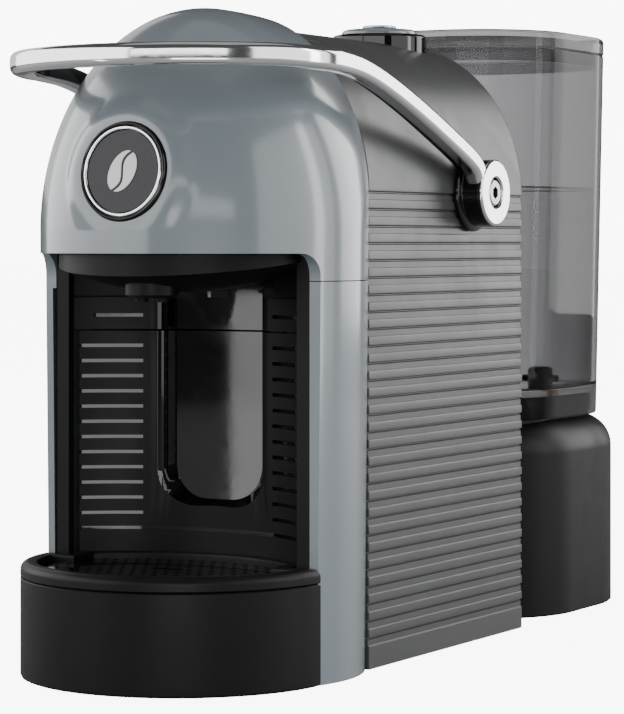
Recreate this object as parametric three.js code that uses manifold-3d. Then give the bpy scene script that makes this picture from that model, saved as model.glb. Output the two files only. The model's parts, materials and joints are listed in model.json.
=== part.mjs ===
// Pod coffee machine, an assembly of separate sub-parts. Millimetres, +Z up, -Y is the front.
// The origin is on the table, in the middle of the machine's bounding box.
import * as THREE from "three";
import { mergeVertices } from "three/addons/utils/BufferGeometryUtils.js";
import Module from "manifold-3d";

const wasm = await Module();
wasm.setup();

// ---- Driving dimensions ------------------------------------------------------------------------
const GAP = 0.3;                 // clearance between pieces that touch
const GROUND_GAP = 1.2;          // skirts of the shells stand this far above the table
const FOOT_HEIGHT = 2.5;
const FOOT_RADIUS = 7;
const FLOOR_THICKNESS = 3;

// Grey body shell: ribbed flanks under an arched roof
const BODY_HALF_WIDTH = 51;
const BODY_LENGTH = 124;
const BODY_FRONT = -74.5;
const BODY_REAR = BODY_FRONT + BODY_LENGTH;
const BODY_WALL = 2.5;
const ARCH_START = 163.3;
const ARCH_RISE = 58;
const ROOF = ARCH_START + ARCH_RISE;
const GROOVE_PITCH = 5.83;
const GROOVE_COUNT = Math.floor((ARCH_START - GROUND_GAP - 8) / GROOVE_PITCH) + 1;
const GROOVE_DEPTH = 0.8;
const GROOVE_HEIGHT = 1.4;

// Glossy front shell: an ellipsoid on vertical walls, drawn in to the body at its rear edge
const FRONT_BULGE = 6;
const FRONT_HALF_WIDTH = BODY_HALF_WIDTH + FRONT_BULGE;
const FRONT_CENTRE = BODY_FRONT - 23.5;
const FRONT_DEPTH = 53;
const FRONT_START = ARCH_START - 13.3;
const FRONT_RISE = ARCH_RISE + 18;
const FRONT_WALL = 2.6;
const FRONT_TAPER = 1.6;
const REAR_EDGE_START = ARCH_START - 2.5;
const REAR_EDGE_RISE = ARCH_RISE + 6.4;
const SEAM_HEIGHT = FRONT_START - 16.5;
const BULKHEAD = 3;

// Cup bay
const BAY_FACE = FRONT_CENTRE - 16;
const BAY_TOP = SEAM_HEIGHT + 9.1;
const BAY_CORNER = 7.5;
const FRONT_WIDTH_AT_BAY = FRONT_HALF_WIDTH * Math.sqrt(1 - ((FRONT_CENTRE - BAY_FACE) / FRONT_DEPTH) ** 2);
const BAY_HALF_WIDTH = FRONT_WIDTH_AT_BAY - FRONT_WALL - FRONT_TAPER - GAP / 2;
const BAY_DEPTH = 23;
const FLANGE_WIDTH = 5;
const FLANGE_DEPTH = 3.2;
const BACK_WALL_SAG = 20;        // how much deeper the concave wall is in the middle
const BACK_WALL_CHORD = BAY_HALF_WIDTH - 3;
const BACK_WALL_RADIUS = (BACK_WALL_CHORD ** 2 + BACK_WALL_SAG ** 2) / (2 * BACK_WALL_SAG);
const BACK_WALL_AXIS = BAY_FACE + BAY_DEPTH - BACK_WALL_RADIUS;
const BACK_WALL = 2.4;
const LEDGE_TOP = BAY_TOP - 15.3;
const LEDGE_DEPTH = 3;
const DRAWER_TOP = LEDGE_TOP - 11.3;
const DRAWER_HALF_WIDTH = BAY_HALF_WIDTH - FLANGE_WIDTH - 2 * GAP;
const RECESS_HALF_WIDTH = 19.6;
const RECESS_DEPTH = 2.8;
const RECESS_FLOOR = BAY_FACE + BAY_DEPTH + RECESS_DEPTH;
const RECESS_BOTTOM = 55;
const RECESS_CORNER = 12;
const SLOT_ROWS = 14;
const SLOT_PITCH = 5.2;
const SLOT_HEIGHT = 1.5;

// Brew head cover and spout
const BOWL_BOTTOM = BAY_TOP - 13.2;
const BOWL_RISE = 12.08;         // from the bowl's lowest point to its edge at the liner
const BOWL_RADIUS = (BAY_HALF_WIDTH ** 2 + BOWL_RISE ** 2) / (2 * BOWL_RISE);
const BOWL_WALL = 2;
const SPOUT_Y = BAY_FACE - 17.3;
const SPOUT_RADIUS = 8.9;
const SPOUT_BOTTOM = BOWL_BOTTOM - 1.5;
const SPOUT_TOP = BAY_TOP + 7.4;
const OUTLET_SPREAD = 4;
const COFFEE_PORT_HEIGHT = FRONT_START + 26;

// Badge on the nose of the hood
const BADGE_ABOVE_START = 19.5;
const BADGE_HEIGHT = FRONT_START + BADGE_ABOVE_START;
const BADGE_STANDS_OUT = 0.6;
const BADGE_FACE = FRONT_CENTRE - BADGE_STANDS_OUT
  - FRONT_DEPTH * Math.sqrt(1 - (BADGE_ABOVE_START / FRONT_RISE) ** 2);
const BADGE_RADIUS = 16.3;
const BADGE_TILT = 7;            // degrees

// Drip tray, rim and grid
const TRAY_RADIUS = BAY_HALF_WIDTH + 4.4;
const TRAY_CENTRE = BAY_FACE + 1.9;
const TRAY_HEIGHT = 39.7;
const TRAY_SEAM = TRAY_HEIGHT - 5;
const TRAY_WALL = 2.2;
const GRID_RIM = 6;
const GRID_DROP = 2.3;
const GRID_THICKNESS = 1.6;

// Used capsule bin behind the concave wall
const BIN_HALF_WIDTH = 30;
const BIN_REAR = BODY_FRONT + 38.5;
const BIN_WALL = 2;
const BIN_LOW = 8;
const BIN_TOP = 100;

// Lever: pivot on the flanks, bow round the front
const LEVER_Y = 3.7;
const LEVER_Z = ARCH_START + 0.8;
const LEVER_ARM_X = BODY_HALF_WIDTH + 6.8;
const LEVER_FRONT = FRONT_CENTRE - FRONT_DEPTH - 9.5;
const LEVER_TOP = ARCH_START + 43.2;
const BOW_CENTRE = FRONT_CENTRE - 12;
const LEVER_BAR_DEPTH = 7;
const LEVER_BAR_HEIGHT = 7.5;
const HUB_RADIUS = 12;
const HUB_FACE = BODY_HALF_WIDTH + 10.5;
const HUB_CAP = 1.5;
const HUB_FOOT = 2;
const SHAFT_RADIUS = 4;
const BUSH_RADIUS = SHAFT_RADIUS + 2.2;
const CRANK_THROW = 14;
const CRANK_PIN = 2.5;
const CRANK_WEB = 3.5;
const CRANK_SLACK = 3;           // the yoke slot is this much wider than the pin on each side
const YOKE_HALF_WIDTH = 5;

// Capsule lid and brew unit
const LID_HALF_WIDTH = 20;
const LID_FRONT = BODY_FRONT + 1.5;
const LID_REAR = BODY_FRONT + 22.5;
const CAPSULE_RADIUS = 19;
const BREW_HEIGHT = ARCH_START + 22.7;
const BREW_LOW = BREW_HEIGHT - 36;
const BREW_HIGH = BREW_HEIGHT + 20;
const BREW_PLATE = 2.5;
const BREW_HALF_WIDTH = 26.5;
const BREW_FRONT = BODY_FRONT + 0.5;
const CHAMBER_LENGTH = 24;
const PISTON_FRONT = BREW_FRONT + CHAMBER_LENGTH + 4;
const PISTON_LENGTH = 8;

// Power button on the roof
const BUTTON_Y = BODY_REAR - 20;
const BUTTON_RADIUS = 14.3;
const BEZEL_RADIUS = BUTTON_RADIUS + 3.6;
const DISC_RADIUS = 6.4;
const BEZEL_TOP = ROOF + 3.2;
const CAP_TOP = BEZEL_TOP + 2.6;
const DISC_TOP = CAP_TOP + 1.1;
const BUTTON_STEM_LOW = BEZEL_TOP - 10.8;
const SWITCH_TOP = BUTTON_STEM_LOW - 8;

// Pump, heater and screws inside the body
const PUMP = { height: 42, front: BODY_REAR - 59.5, rear: BODY_REAR - 29.5, half: 16, nose: 6 };
PUMP.noseFront = PUMP.front - 16;
PUMP.noseRear = PUMP.rear + 18;
PUMP.mounts = { front: PUMP.front - 8, rear: PUMP.rear + 8 };
const MOUNT_RADIUS = 11;
const SUCTION_RADIUS = 3;
const HEATER = { low: 85, high: 125, half: 20, front: BODY_REAR - 69.5, rear: BODY_REAR - 19.5, port: 104 };
HEATER.portFront = HEATER.front - 6;
const SCREW_X = BODY_HALF_WIDTH - 13;
const SCREW_Y = BODY_REAR - 29.5;

// Rear base and water tank
const BASE_FRONT = BODY_REAR + 7.5;
const BASE_REAR = BASE_FRONT + 109.5;
const BASE_HALF_WIDTH = 50;
const BASE_CORNER = BASE_HALF_WIDTH - 10;
const BASE_TOP = 77;
const BASE_EDGE = 13;
const BASE_WALL = 2.6;
const NECK_HALF_WIDTH = 38;
const GLAND_HEIGHT = 14;
const GLAND_RADIUS = 4;
const TANK_FRONT = BASE_FRONT + 0.5;
const TANK_REAR = BASE_REAR - 3.5;
const TANK_HALF_WIDTH = BASE_HALF_WIDTH - 2.5;
const TANK_CORNER = BASE_CORNER - 2;
const TANK_DRAFT = 3;            // how much narrower the tank is at its foot
const TANK_BOTTOM = BASE_TOP + GAP;
const TANK_FLOOR = BASE_TOP + 11.5;
const TANK_FLOOR_THICKNESS = 2.5;
const TANK_WALL = 2;
const TANK_TOP = 221.5;
const LID_TOP = TANK_TOP + 7;
const LID_PLUG = 5;
const PLATEAU_TOP = TANK_FLOOR - TANK_FLOOR_THICKNESS - GAP;
const VALVE_X = 24;
const VALVE_Y = TANK_FRONT + 58.5;

// ---- Materials ---------------------------------------------------------------------------------
function material(color, roughness, metalness, opacity = 1) {
  return new THREE.MeshStandardMaterial({ color, roughness, metalness, opacity, transparent: opacity < 1 });
}
const LOOKS = {
  hoodPaint: () => material(0x8796a0, 0.25, 0),
  bodyPaint: () => material(0x6c6e70, 0.5, 0.3),
  matteBlack: () => material(0x1b1b1c, 0.55, 0),
  glossBlack: () => material(0x0b0b0c, 0.15, 0),
  chrome: () => material(0xd8d9dc, 0.08, 1),
  steel: () => material(0x9a9c9e, 0.35, 1),
  brass: () => material(0xb08d4a, 0.35, 1),
  rubber: () => material(0x222222, 0.9, 0),
  smoke: () => material(0x4a4c4e, 0.1, 0, 0.4),
  whitePlastic: () => material(0xd9d7d0, 0.5, 0),
  board: () => material(0x1d5a3a, 0.6, 0),
};

const machine = new THREE.Group();
const WIDE = 100;                // reach of cutting tools that pass right through

// ---- Solids from three.js geometry -------------------------------------------------------------
function signedVolume(positions, index) {
  const [a, b, c] = [new THREE.Vector3(), new THREE.Vector3(), new THREE.Vector3()];
  let total = 0;
  for (let i = 0; i < index.length; i += 3) {
    a.fromArray(positions, index[i] * 3);
    b.fromArray(positions, index[i + 1] * 3);
    c.fromArray(positions, index[i + 2] * 3);
    total += a.dot(b.cross(c)) / 6;
  }
  return total;
}

// Turns a closed geometry into a manifold solid whose faces point out.
function solid(geometry) {
  const bare = geometry.clone();
  for (const name of Object.keys(bare.attributes)) {
    if (name !== "position") bare.deleteAttribute(name);
  }
  const merged = mergeVertices(bare, 1e-4);
  const positions = merged.attributes.position.array;
  let index = [];
  for (let i = 0; i < merged.index.count; i += 3) {
    const [a, b, c] = [0, 1, 2].map((k) => merged.index.getX(i + k));
    if (a !== b && b !== c && c !== a) index.push(a, b, c);
  }
  if (signedVolume(positions, index) < 0) index = index.reverse();
  return new wasm.Manifold(new wasm.Mesh({
    numProp: 3,
    vertProperties: Float32Array.from(positions),
    triVerts: Uint32Array.from(index),
  }));
}

function join(first, ...others) {
  return others.reduce((all, other) => all.add(other), first);
}

function cut(first, ...tools) {
  return tools.reduce((all, tool) => all.subtract(tool), first);
}

function box(xLow, xHigh, yLow, yHigh, zLow, zHigh) {
  const geometry = new THREE.BoxGeometry(xHigh - xLow, yHigh - yLow, zHigh - zLow);
  geometry.translate((xLow + xHigh) / 2, (yLow + yHigh) / 2, (zLow + zHigh) / 2);
  return solid(geometry);
}

// The same box on the right and on the left.
function bothSides(xNear, xFar, yLow, yHigh, zLow, zHigh) {
  return [box(xNear, xFar, yLow, yHigh, zLow, zHigh), box(-xFar, -xNear, yLow, yHigh, zLow, zHigh)];
}

// A round bar between two points.
function rod(radius, start, end, sides = 20) {
  const [from, to] = [new THREE.Vector3(...start), new THREE.Vector3(...end)];
  const along = to.clone().sub(from);
  const geometry = new THREE.CylinderGeometry(radius, radius, along.length(), sides);
  const turn = new THREE.Quaternion().setFromUnitVectors(new THREE.Vector3(0, 1, 0), along.normalize());
  geometry.applyQuaternion(turn);
  geometry.translate(...from.add(to).multiplyScalar(0.5).toArray());
  return solid(geometry);
}

// Spins a closed profile of [radius, height] points about an axis through the place given.
function spun(profile, { at = [0, 0, 0], axis = "z", sides = 24 } = {}) {
  const points = [...profile, profile[0]].map(([radius, height]) => new THREE.Vector2(radius, height));
  const geometry = new THREE.LatheGeometry(points, sides);
  geometry.rotateX(Math.PI / 2);
  if (axis === "x") geometry.rotateY(Math.PI / 2);
  if (axis === "-y") geometry.rotateX(Math.PI / 2);
  geometry.translate(...at);
  return solid(geometry);
}

function shapeOf(points) {
  return new THREE.Shape(points.map(([x, y]) => new THREE.Vector2(x, y)));
}

// Extrudes a plan outline between two heights.
function upward(shape, zLow, zHigh, curveSegments = 12) {
  const depth = zHigh - zLow;
  const geometry = new THREE.ExtrudeGeometry(shape, { depth, bevelEnabled: false, curveSegments });
  geometry.translate(0, 0, zLow);
  return solid(geometry);
}

// Extrudes an outline drawn in X and Z along Y.
function backward(shape, yLow, yHigh) {
  const geometry = new THREE.ExtrudeGeometry(shape, { depth: yHigh - yLow, bevelEnabled: false });
  geometry.rotateX(Math.PI / 2);
  geometry.translate(0, yHigh, 0);
  return solid(geometry);
}

// Skins a row of closed rings with equal numbers of points. Both ends are closed by fans.
function loft(rings) {
  const count = rings[0].length;
  const points = rings.flat();
  const index = [];
  for (let r = 0; r + 1 < rings.length; r++) {
    for (let i = 0; i < count; i++) {
      const [a, b] = [r * count + i, r * count + (i + 1) % count];
      index.push(a, b, b + count, a, b + count, a + count);
    }
  }
  for (const [ring, flip] of [[0, true], [rings.length - 1, false]]) {
    const centre = new THREE.Vector3();
    rings[ring].forEach((point) => centre.addScaledVector(point, 1 / count));
    if (rings[ring].every((point) => Math.abs(point.x) < 1e-3)) continue;
    points.push(centre);
    for (let i = 0; i < count; i++) {
      const [a, b] = [ring * count + i, ring * count + (i + 1) % count];
      index.push(points.length - 1, ...(flip ? [b, a] : [a, b]));
    }
  }
  const geometry = new THREE.BufferGeometry().setFromPoints(points);
  geometry.setIndex(index);
  return solid(geometry);
}

// A round tube or bar along a smooth curve through a few points.
function hose(points, radius, { steps = 16, sides = 6 } = {}) {
  const curve = new THREE.CatmullRomCurve3(points.map((point) => new THREE.Vector3(...point)));
  const section = [...Array(sides)].map((_, i) => {
    const angle = 2 * Math.PI * i / sides;
    return [radius * Math.cos(angle), radius * Math.sin(angle)];
  });
  return solid(new THREE.ExtrudeGeometry(shapeOf(section), { steps, extrudePath: curve, bevelEnabled: false }));
}

// A coil spring as a helix of thin wire.
function coil(x, y, zLow, zHigh, radius, wire, turns) {
  const steps = turns * 8;
  const points = [...Array(steps + 1)].map((_, i) => {
    const angle = 2 * Math.PI * turns * i / steps;
    return [x + radius * Math.cos(angle), y + radius * Math.sin(angle), zLow + wire
      + (zHigh - zLow - 2 * wire) * i / steps];
  });
  return hose(points, wire, { steps, sides: 4 });
}

// Adds a finished solid to the machine as a named mesh.
function piece(name, body, look) {
  const mesh = body.getMesh();
  const geometry = new THREE.BufferGeometry();
  geometry.setAttribute("position", new THREE.BufferAttribute(Float32Array.from(mesh.vertProperties), 3));
  geometry.setIndex(new THREE.BufferAttribute(Uint32Array.from(mesh.triVerts), 1));
  geometry.computeVertexNormals();
  const item = new THREE.Mesh(geometry, look());
  item.name = name;
  machine.add(item);
}

// ---- Outlines shared by several pieces ---------------------------------------------------------
// Arch in X and Z: right foot, right spring line, over the top, left spring line, left foot.
function archOutline(halfWidth, start, rise, foot, footHalfWidth = halfWidth, steps = 20) {
  const arc = [...Array(steps + 1)].map((_, i) => {
    const angle = Math.PI * i / steps;
    return [halfWidth * Math.cos(angle), start + rise * Math.sin(angle)];
  });
  return [[footHalfWidth, foot], ...arc, [-footHalfWidth, foot]];
}

function bodyArch(inset, foot) {
  return archOutline(BODY_HALF_WIDTH - inset, ARCH_START, ARCH_RISE - inset, foot);
}

function archPrism(inset, foot, yLow, yHigh) {
  return backward(shapeOf(bodyArch(inset, foot)), yLow, yHigh);
}

// The filled front shell: arches from its rear edge forward, closing on the nose of the ellipsoid.
function frontSolid(inset, foot, rear) {
  const rearReach = BODY_FRONT - FRONT_CENTRE;
  const rings = [];
  const addRing = (y, halfWidth, start, rise) => {
    const scale = halfWidth / FRONT_HALF_WIDTH;
    const footHalfWidth = Math.max(0, halfWidth - scale * FRONT_TAPER * (start - foot) / FRONT_START);
    rings.push(archOutline(halfWidth, start, rise, foot, footHalfWidth)
      .map(([x, z]) => new THREE.Vector3(x, y, z)));
  };
  for (let i = 0; i < 3; i++) {
    const y = rear + (FRONT_CENTRE - rear) * i / 3;
    const t = ((y - FRONT_CENTRE) / rearReach) ** 2;
    addRing(y, THREE.MathUtils.lerp(FRONT_HALF_WIDTH, BODY_HALF_WIDTH, t) - inset,
      THREE.MathUtils.lerp(FRONT_START, REAR_EDGE_START, t),
      THREE.MathUtils.lerp(FRONT_RISE, REAR_EDGE_RISE, t) - inset);
  }
  const turns = 8;
  for (let i = 0; i <= turns; i++) {
    const angle = Math.PI / 2 * i / turns;
    const shrink = i === turns ? 0 : Math.cos(angle);
    addRing(FRONT_CENTRE - (FRONT_DEPTH - inset) * Math.sin(angle), (FRONT_HALF_WIDTH - inset) * shrink,
      FRONT_START, (FRONT_RISE - inset) * shrink);
  }
  return loft(rings);
}

// The opening of the cup bay, seen from the side, cut right across the front shell.
function bayOpening() {
  const side = new THREE.Shape();
  side.moveTo(BAY_FACE - WIDE, -10);
  side.lineTo(BAY_FACE, -10);
  side.lineTo(BAY_FACE, BAY_TOP - BAY_CORNER);
  side.quadraticCurveTo(BAY_FACE, BAY_TOP, BAY_FACE - BAY_CORNER, BAY_TOP);
  side.lineTo(BAY_FACE - WIDE, BAY_TOP);
  const geometry = new THREE.ExtrudeGeometry(side, { depth: 2 * WIDE, bevelEnabled: false, curveSegments: 6 });
  geometry.rotateX(Math.PI / 2);
  geometry.rotateZ(Math.PI / 2);
  geometry.translate(-WIDE, 0, 0);
  return solid(geometry);
}

// Plan outline bounded in front by a convex curve and behind by the concave wall.
function bayPlan(frontCurve, halfWidth, wallRadius) {
  const rearAngle = Math.asin(halfWidth / wallRadius);
  const steps = 8;
  const rear = [...Array(steps + 1)].map((_, i) => {
    const angle = rearAngle * (1 - 2 * i / steps);
    return [wallRadius * Math.sin(angle), BACK_WALL_AXIS + wallRadius * Math.cos(angle)];
  });
  return shapeOf([...rear, ...frontCurve]);
}

function wallCylinder(radius, zLow, zHigh) {
  return rod(radius, [0, BACK_WALL_AXIS, zLow], [0, BACK_WALL_AXIS, zHigh], 48);
}

// U-shaped recess with a round bottom, cut into the concave wall.
function recess() {
  const [half, corner] = [RECESS_HALF_WIDTH, RECESS_CORNER];
  const outline = new THREE.Shape();
  outline.moveTo(-half, LEDGE_TOP + 5);
  outline.lineTo(-half, RECESS_BOTTOM + corner);
  outline.quadraticCurveTo(-half, RECESS_BOTTOM, -half + corner, RECESS_BOTTOM);
  outline.lineTo(half - corner, RECESS_BOTTOM);
  outline.quadraticCurveTo(half, RECESS_BOTTOM, half, RECESS_BOTTOM + corner);
  outline.lineTo(half, LEDGE_TOP + 5);
  return backward(outline, BACK_WALL_AXIS, RECESS_FLOOR);
}

// The thicker part of the wall behind the recess.
function recessPan(zLow, zHigh) {
  const half = RECESS_HALF_WIDTH + 4;
  return box(-half, half, RECESS_FLOOR - RECESS_DEPTH, RECESS_FLOOR + BACK_WALL, zLow, zHigh);
}

// Rounded square in plan, whose corners are arcs.
function roundedSquare(halfWidth, front, rear, corner, perCorner = 4) {
  const points = [];
  const centres = [[halfWidth - corner, rear - corner], [corner - halfWidth, rear - corner],
    [corner - halfWidth, front + corner], [halfWidth - corner, front + corner]];
  centres.forEach(([x, y], quarter) => {
    for (let i = 0; i <= perCorner; i++) {
      const angle = Math.PI / 2 * (quarter + i / perCorner);
      points.push([x + corner * Math.cos(angle), y + corner * Math.sin(angle)]);
    }
  });
  return points;
}

function ringAt(outline, z) {
  return outline.map(([x, y]) => new THREE.Vector3(x, y, z));
}

// ---- Body and front ----------------------------------------------------------------------------
function ribbedShell() {
  const flank = [[BODY_HALF_WIDTH, GROUND_GAP]];
  for (let k = GROOVE_COUNT - 1; k >= 0; k--) {
    const z = ARCH_START - GROOVE_PITCH * k;
    const half = GROOVE_HEIGHT / 2;
    flank.push([BODY_HALF_WIDTH, z - half], [BODY_HALF_WIDTH - GROOVE_DEPTH, z], [BODY_HALF_WIDTH, z + half]);
  }
  const arch = bodyArch(0, GROUND_GAP).slice(2, -2);
  const otherFlank = flank.map(([x, z]) => [-x, z]).reverse();
  const outline = [...flank, ...arch.filter(([, z]) => z > ARCH_START + GROOVE_HEIGHT), ...otherFlank,
    ...bodyArch(BODY_WALL, GROUND_GAP).reverse()];
  return backward(shapeOf(outline), BODY_FRONT, BODY_REAR);
}

function lidOpening() {
  const half = LID_HALF_WIDTH + GAP;
  return box(-half, half, BODY_FRONT - 1, LID_REAR, ROOF - ARCH_RISE / 2, ROOF + 10);
}

// A rod along the lever's axis that reaches the same distance to both sides.
function across(radius, reach, sides = 20) {
  return rod(radius, [-reach, LEVER_Y, LEVER_Z], [reach, LEVER_Y, LEVER_Z], sides);
}

function bodyPieces() {
  const shaftHole = across(BUSH_RADIUS + GAP, HUB_FACE);
  const buttonHole = rod(BEZEL_RADIUS + GAP, [0, BUTTON_Y, ROOF - 20], [0, BUTTON_Y, ROOF + 20], 32);
  piece("body_shell", cut(ribbedShell(), lidOpening(), shaftHole, buttonHole), LOOKS.bodyPaint);

  const inside = BODY_HALF_WIDTH - BODY_WALL - GAP;
  const plateLow = FOOT_HEIGHT + GAP;
  const plateTop = plateLow + FLOOR_THICKNESS;
  const cradles = Object.values(PUMP.mounts).map((y) => cut(
    box(-MOUNT_RADIUS - 3, MOUNT_RADIUS + 3, y - 3, y + 3, plateTop - 1, PUMP.height - 4),
    rod(MOUNT_RADIUS + GAP, [0, y - 5, PUMP.height], [0, y + 5, PUMP.height])));
  const screwHoles = [-SCREW_X, SCREW_X].map((x) => rod(1.8, [x, SCREW_Y, 0], [x, SCREW_Y, 20], 12));
  const plate = join(box(-inside, inside, BODY_FRONT + 2, BODY_REAR - GAP, plateLow, plateTop), ...cradles);
  piece("base_plate", cut(plate, ...screwHoles), LOOKS.matteBlack);

  const hose = [[0, BODY_REAR - 10, PUMP.height], [0, BODY_REAR + 10, PUMP.height]];
  const hoseHole = rod(SUCTION_RADIUS + 1.5, ...hose);
  const rear = archPrism(BODY_WALL + GAP, plateTop + GAP, BODY_REAR - GAP - BODY_WALL, BODY_REAR - GAP);
  piece("rear_cover", cut(rear, hoseHole, buttonHole), LOOKS.bodyPaint);
}

function frontPieces() {
  const rear = BODY_FRONT - GAP;
  const outer = frontSolid(0, GROUND_GAP, rear);
  const inner = frontSolid(FRONT_WALL, GROUND_GAP - 5, rear + 1);
  const opening = bayOpening();
  const above = box(-WIDE, WIDE, -WIDE * 2, 0, SEAM_HEIGHT + GAP / 2, WIDE * 3);
  const below = box(-WIDE, WIDE, -WIDE * 2, 0, -10, SEAM_HEIGHT - GAP / 2);
  const badgeHole = badgeRod(BADGE_RADIUS + GAP, -2, 20);
  piece("front_hood", cut(outer.subtract(inner).intersect(above), opening, badgeHole), LOOKS.hoodPaint);

  const lips = bothSides(BAY_HALF_WIDTH, WIDE, BAY_FACE, BAY_FACE + FRONT_WALL, -10, SEAM_HEIGHT)
    .map((side) => outer.intersect(side));
  const bulkhead = outer.intersect(box(-WIDE, WIDE, rear - BULKHEAD, rear, -10, SEAM_HEIGHT));
  const window = box(-DRAWER_HALF_WIDTH, DRAWER_HALF_WIDTH, rear - BULKHEAD - 5, rear + 5, -10, DRAWER_TOP + 2);
  const frame = join(outer.subtract(inner), ...lips, bulkhead).intersect(below);
  piece("front_frame", cut(frame, opening, window), LOOKS.hoodPaint);
}

// ---- Cup bay -----------------------------------------------------------------------------------
function bayLiner() {
  const half = BAY_HALF_WIDTH - GAP;
  const [face, low, high] = [BAY_FACE + GAP, DRAWER_TOP + GAP, BAY_TOP - GAP];
  const legs = bothSides(half - FLANGE_WIDTH + GAP, half, face, face + FLANGE_DEPTH, GROUND_GAP + 2, high);
  const cheeks = bothSides(half - 2, half, face, BAY_FACE + 14, low, high);
  const outside = BACK_WALL_RADIUS + BACK_WALL + LEDGE_DEPTH;
  const lower = wallCylinder(outside, low, LEDGE_TOP).subtract(wallCylinder(BACK_WALL_RADIUS, 0, WIDE * 2));
  const upper = wallCylinder(outside, LEDGE_TOP - 1, high)
    .subtract(wallCylinder(BACK_WALL_RADIUS + LEDGE_DEPTH, 0, WIDE * 2));
  const limit = box(-half, half, face, RECESS_FLOOR + BACK_WALL + LEDGE_DEPTH, low, high);
  const wall = join(lower, upper, recessPan(low, LEDGE_TOP)).intersect(limit);
  piece("bay_liner", cut(join(wall, ...cheeks, ...legs), recess()), LOOKS.matteBlack);
}

function brewHeadCover() {
  const centre = BAY_FACE + 1;
  const reach = FRONT_HALF_WIDTH + 9;
  const bowl = (lift) => {
    const curve = [...Array(6)].map((_, i) => {
      const r = reach * i / 5;
      return [r, BOWL_BOTTOM + lift + BOWL_RADIUS - Math.sqrt(BOWL_RADIUS ** 2 - r ** 2)];
    });
    return spun([...curve, [reach, BAY_TOP + 20], [0, BAY_TOP + 20]], { at: [0, centre, 0], sides: 32 });
  };
  const plan = (inset) => {
    const [a, b] = [FRONT_HALF_WIDTH - 8 - inset, FRONT_DEPTH - FRONT_WALL - GAP - inset];
    const front = [...Array(15)].map((_, i) => {
      const angle = Math.PI * (1.1 + 0.8 * i / 14);
      return [a * Math.cos(angle), FRONT_CENTRE + b * Math.sin(angle)];
    });
    return bayPlan(front, DRAWER_HALF_WIDTH - inset, BACK_WALL_RADIUS - GAP - inset);
  };
  const top = BAY_TOP - GAP;
  const outer = bowl(0).intersect(upward(plan(0), BOWL_BOTTOM - 2, top));
  const inner = bowl(BOWL_WALL).intersect(upward(plan(BOWL_WALL), BOWL_BOTTOM - 2, top + 5));
  const spoutHole = rod(SPOUT_RADIUS + GAP, [0, SPOUT_Y, BOWL_BOTTOM - 20], [0, SPOUT_Y, top + 20]);
  const legs = bothSides(DRAWER_HALF_WIDTH, WIDE, BAY_FACE, BAY_FACE + 50, BOWL_BOTTOM - 5, top + 5);
  piece("brew_head_cover", cut(outer, inner, spoutHole, ...legs), LOOKS.matteBlack);
}

function coffeeSpout() {
  const nozzle = spun([[0, SPOUT_BOTTOM], [SPOUT_RADIUS - 1.5, SPOUT_BOTTOM],
    [SPOUT_RADIUS, SPOUT_BOTTOM + 1.5], [SPOUT_RADIUS, SPOUT_TOP], [0, SPOUT_TOP]], { at: [0, SPOUT_Y, 0] });
  const upright = (radius, x, low, high, sides) => rod(radius, [x, SPOUT_Y, low], [x, SPOUT_Y, high], sides);
  const sides = [-OUTLET_SPREAD, OUTLET_SPREAD];
  const outlets = sides.map((x) => upright(2.4, x, SPOUT_BOTTOM - 1.4, SPOUT_BOTTOM + 2, 12));
  const bores = sides.map((x) => upright(1.2, x, SPOUT_BOTTOM - 5, SPOUT_TOP + 1, 8));
  piece("coffee_spout", cut(join(nozzle, ...outlets), ...bores), LOOKS.matteBlack);
  const port = COFFEE_PORT_HEIGHT;
  const route = [[0, SPOUT_Y, SPOUT_TOP + GAP], [0, SPOUT_Y, SPOUT_TOP + 10], [0, SPOUT_Y + 19, port - 4],
    [0, FRONT_CENTRE + 8, port], [0, BODY_FRONT - GAP, port]];
  piece("coffee_tube", hose(route, 2.5), LOOKS.whitePlastic);
}

// ---- Badge: a stack of discs on one tilted axis ------------------------------------------------
function placeOnHood(disc) {
  return disc.rotate([-BADGE_TILT, 0, 0]).translate([0, BADGE_FACE, BADGE_HEIGHT]);
}

// depth grows from the badge's face into the hood
function badgeRod(radius, depthFrom, depthTo) {
  return placeOnHood(rod(radius, [0, depthFrom, 0], [0, depthTo, 0], 32));
}

function badgeRing(inner, outer, depthFrom, depthTo) {
  return badgeRod(outer, depthFrom, depthTo).subtract(badgeRod(inner, depthFrom - 1, depthTo + 1));
}

function badgePieces() {
  const seat = 2.2;
  piece("badge_bezel", cut(badgeRod(BADGE_RADIUS, 0, 7), badgeRod(BADGE_RADIUS - 1.6, -1, seat)),
    LOOKS.glossBlack);
  const ringOuter = BADGE_RADIUS - 1.6 - GAP;
  piece("badge_ring", badgeRing(ringOuter - 1.8, ringOuter, 0.1, seat - GAP), LOOKS.chrome);
  const disc = badgeRod(ringOuter - 1.8 - GAP, 0.9, seat - GAP);
  const emblem = badgeRing(5.2, 7, 0.5, 1.2);
  piece("badge_disc", join(disc, emblem), LOOKS.steel);
}

// ---- Drawer: drip tray, rim, grid and capsule bin ----------------------------------------------
function trayOutline(inset, wallInset) {
  const radius = TRAY_RADIUS - inset;
  const step = BAY_FACE - GAP - inset;
  const start = Math.asin((TRAY_CENTRE - step) / radius);
  const sweep = Math.PI - 2 * start;
  const front = [...Array(21)].map((_, i) => {
    const angle = Math.PI + start + sweep * i / 20;
    return [radius * Math.cos(angle), TRAY_CENTRE + radius * Math.sin(angle)];
  });
  const neck = DRAWER_HALF_WIDTH - inset;
  return bayPlan([[-neck, step], ...front, [neck, step]], neck, BACK_WALL_RADIUS - GAP - wallInset);
}

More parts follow.
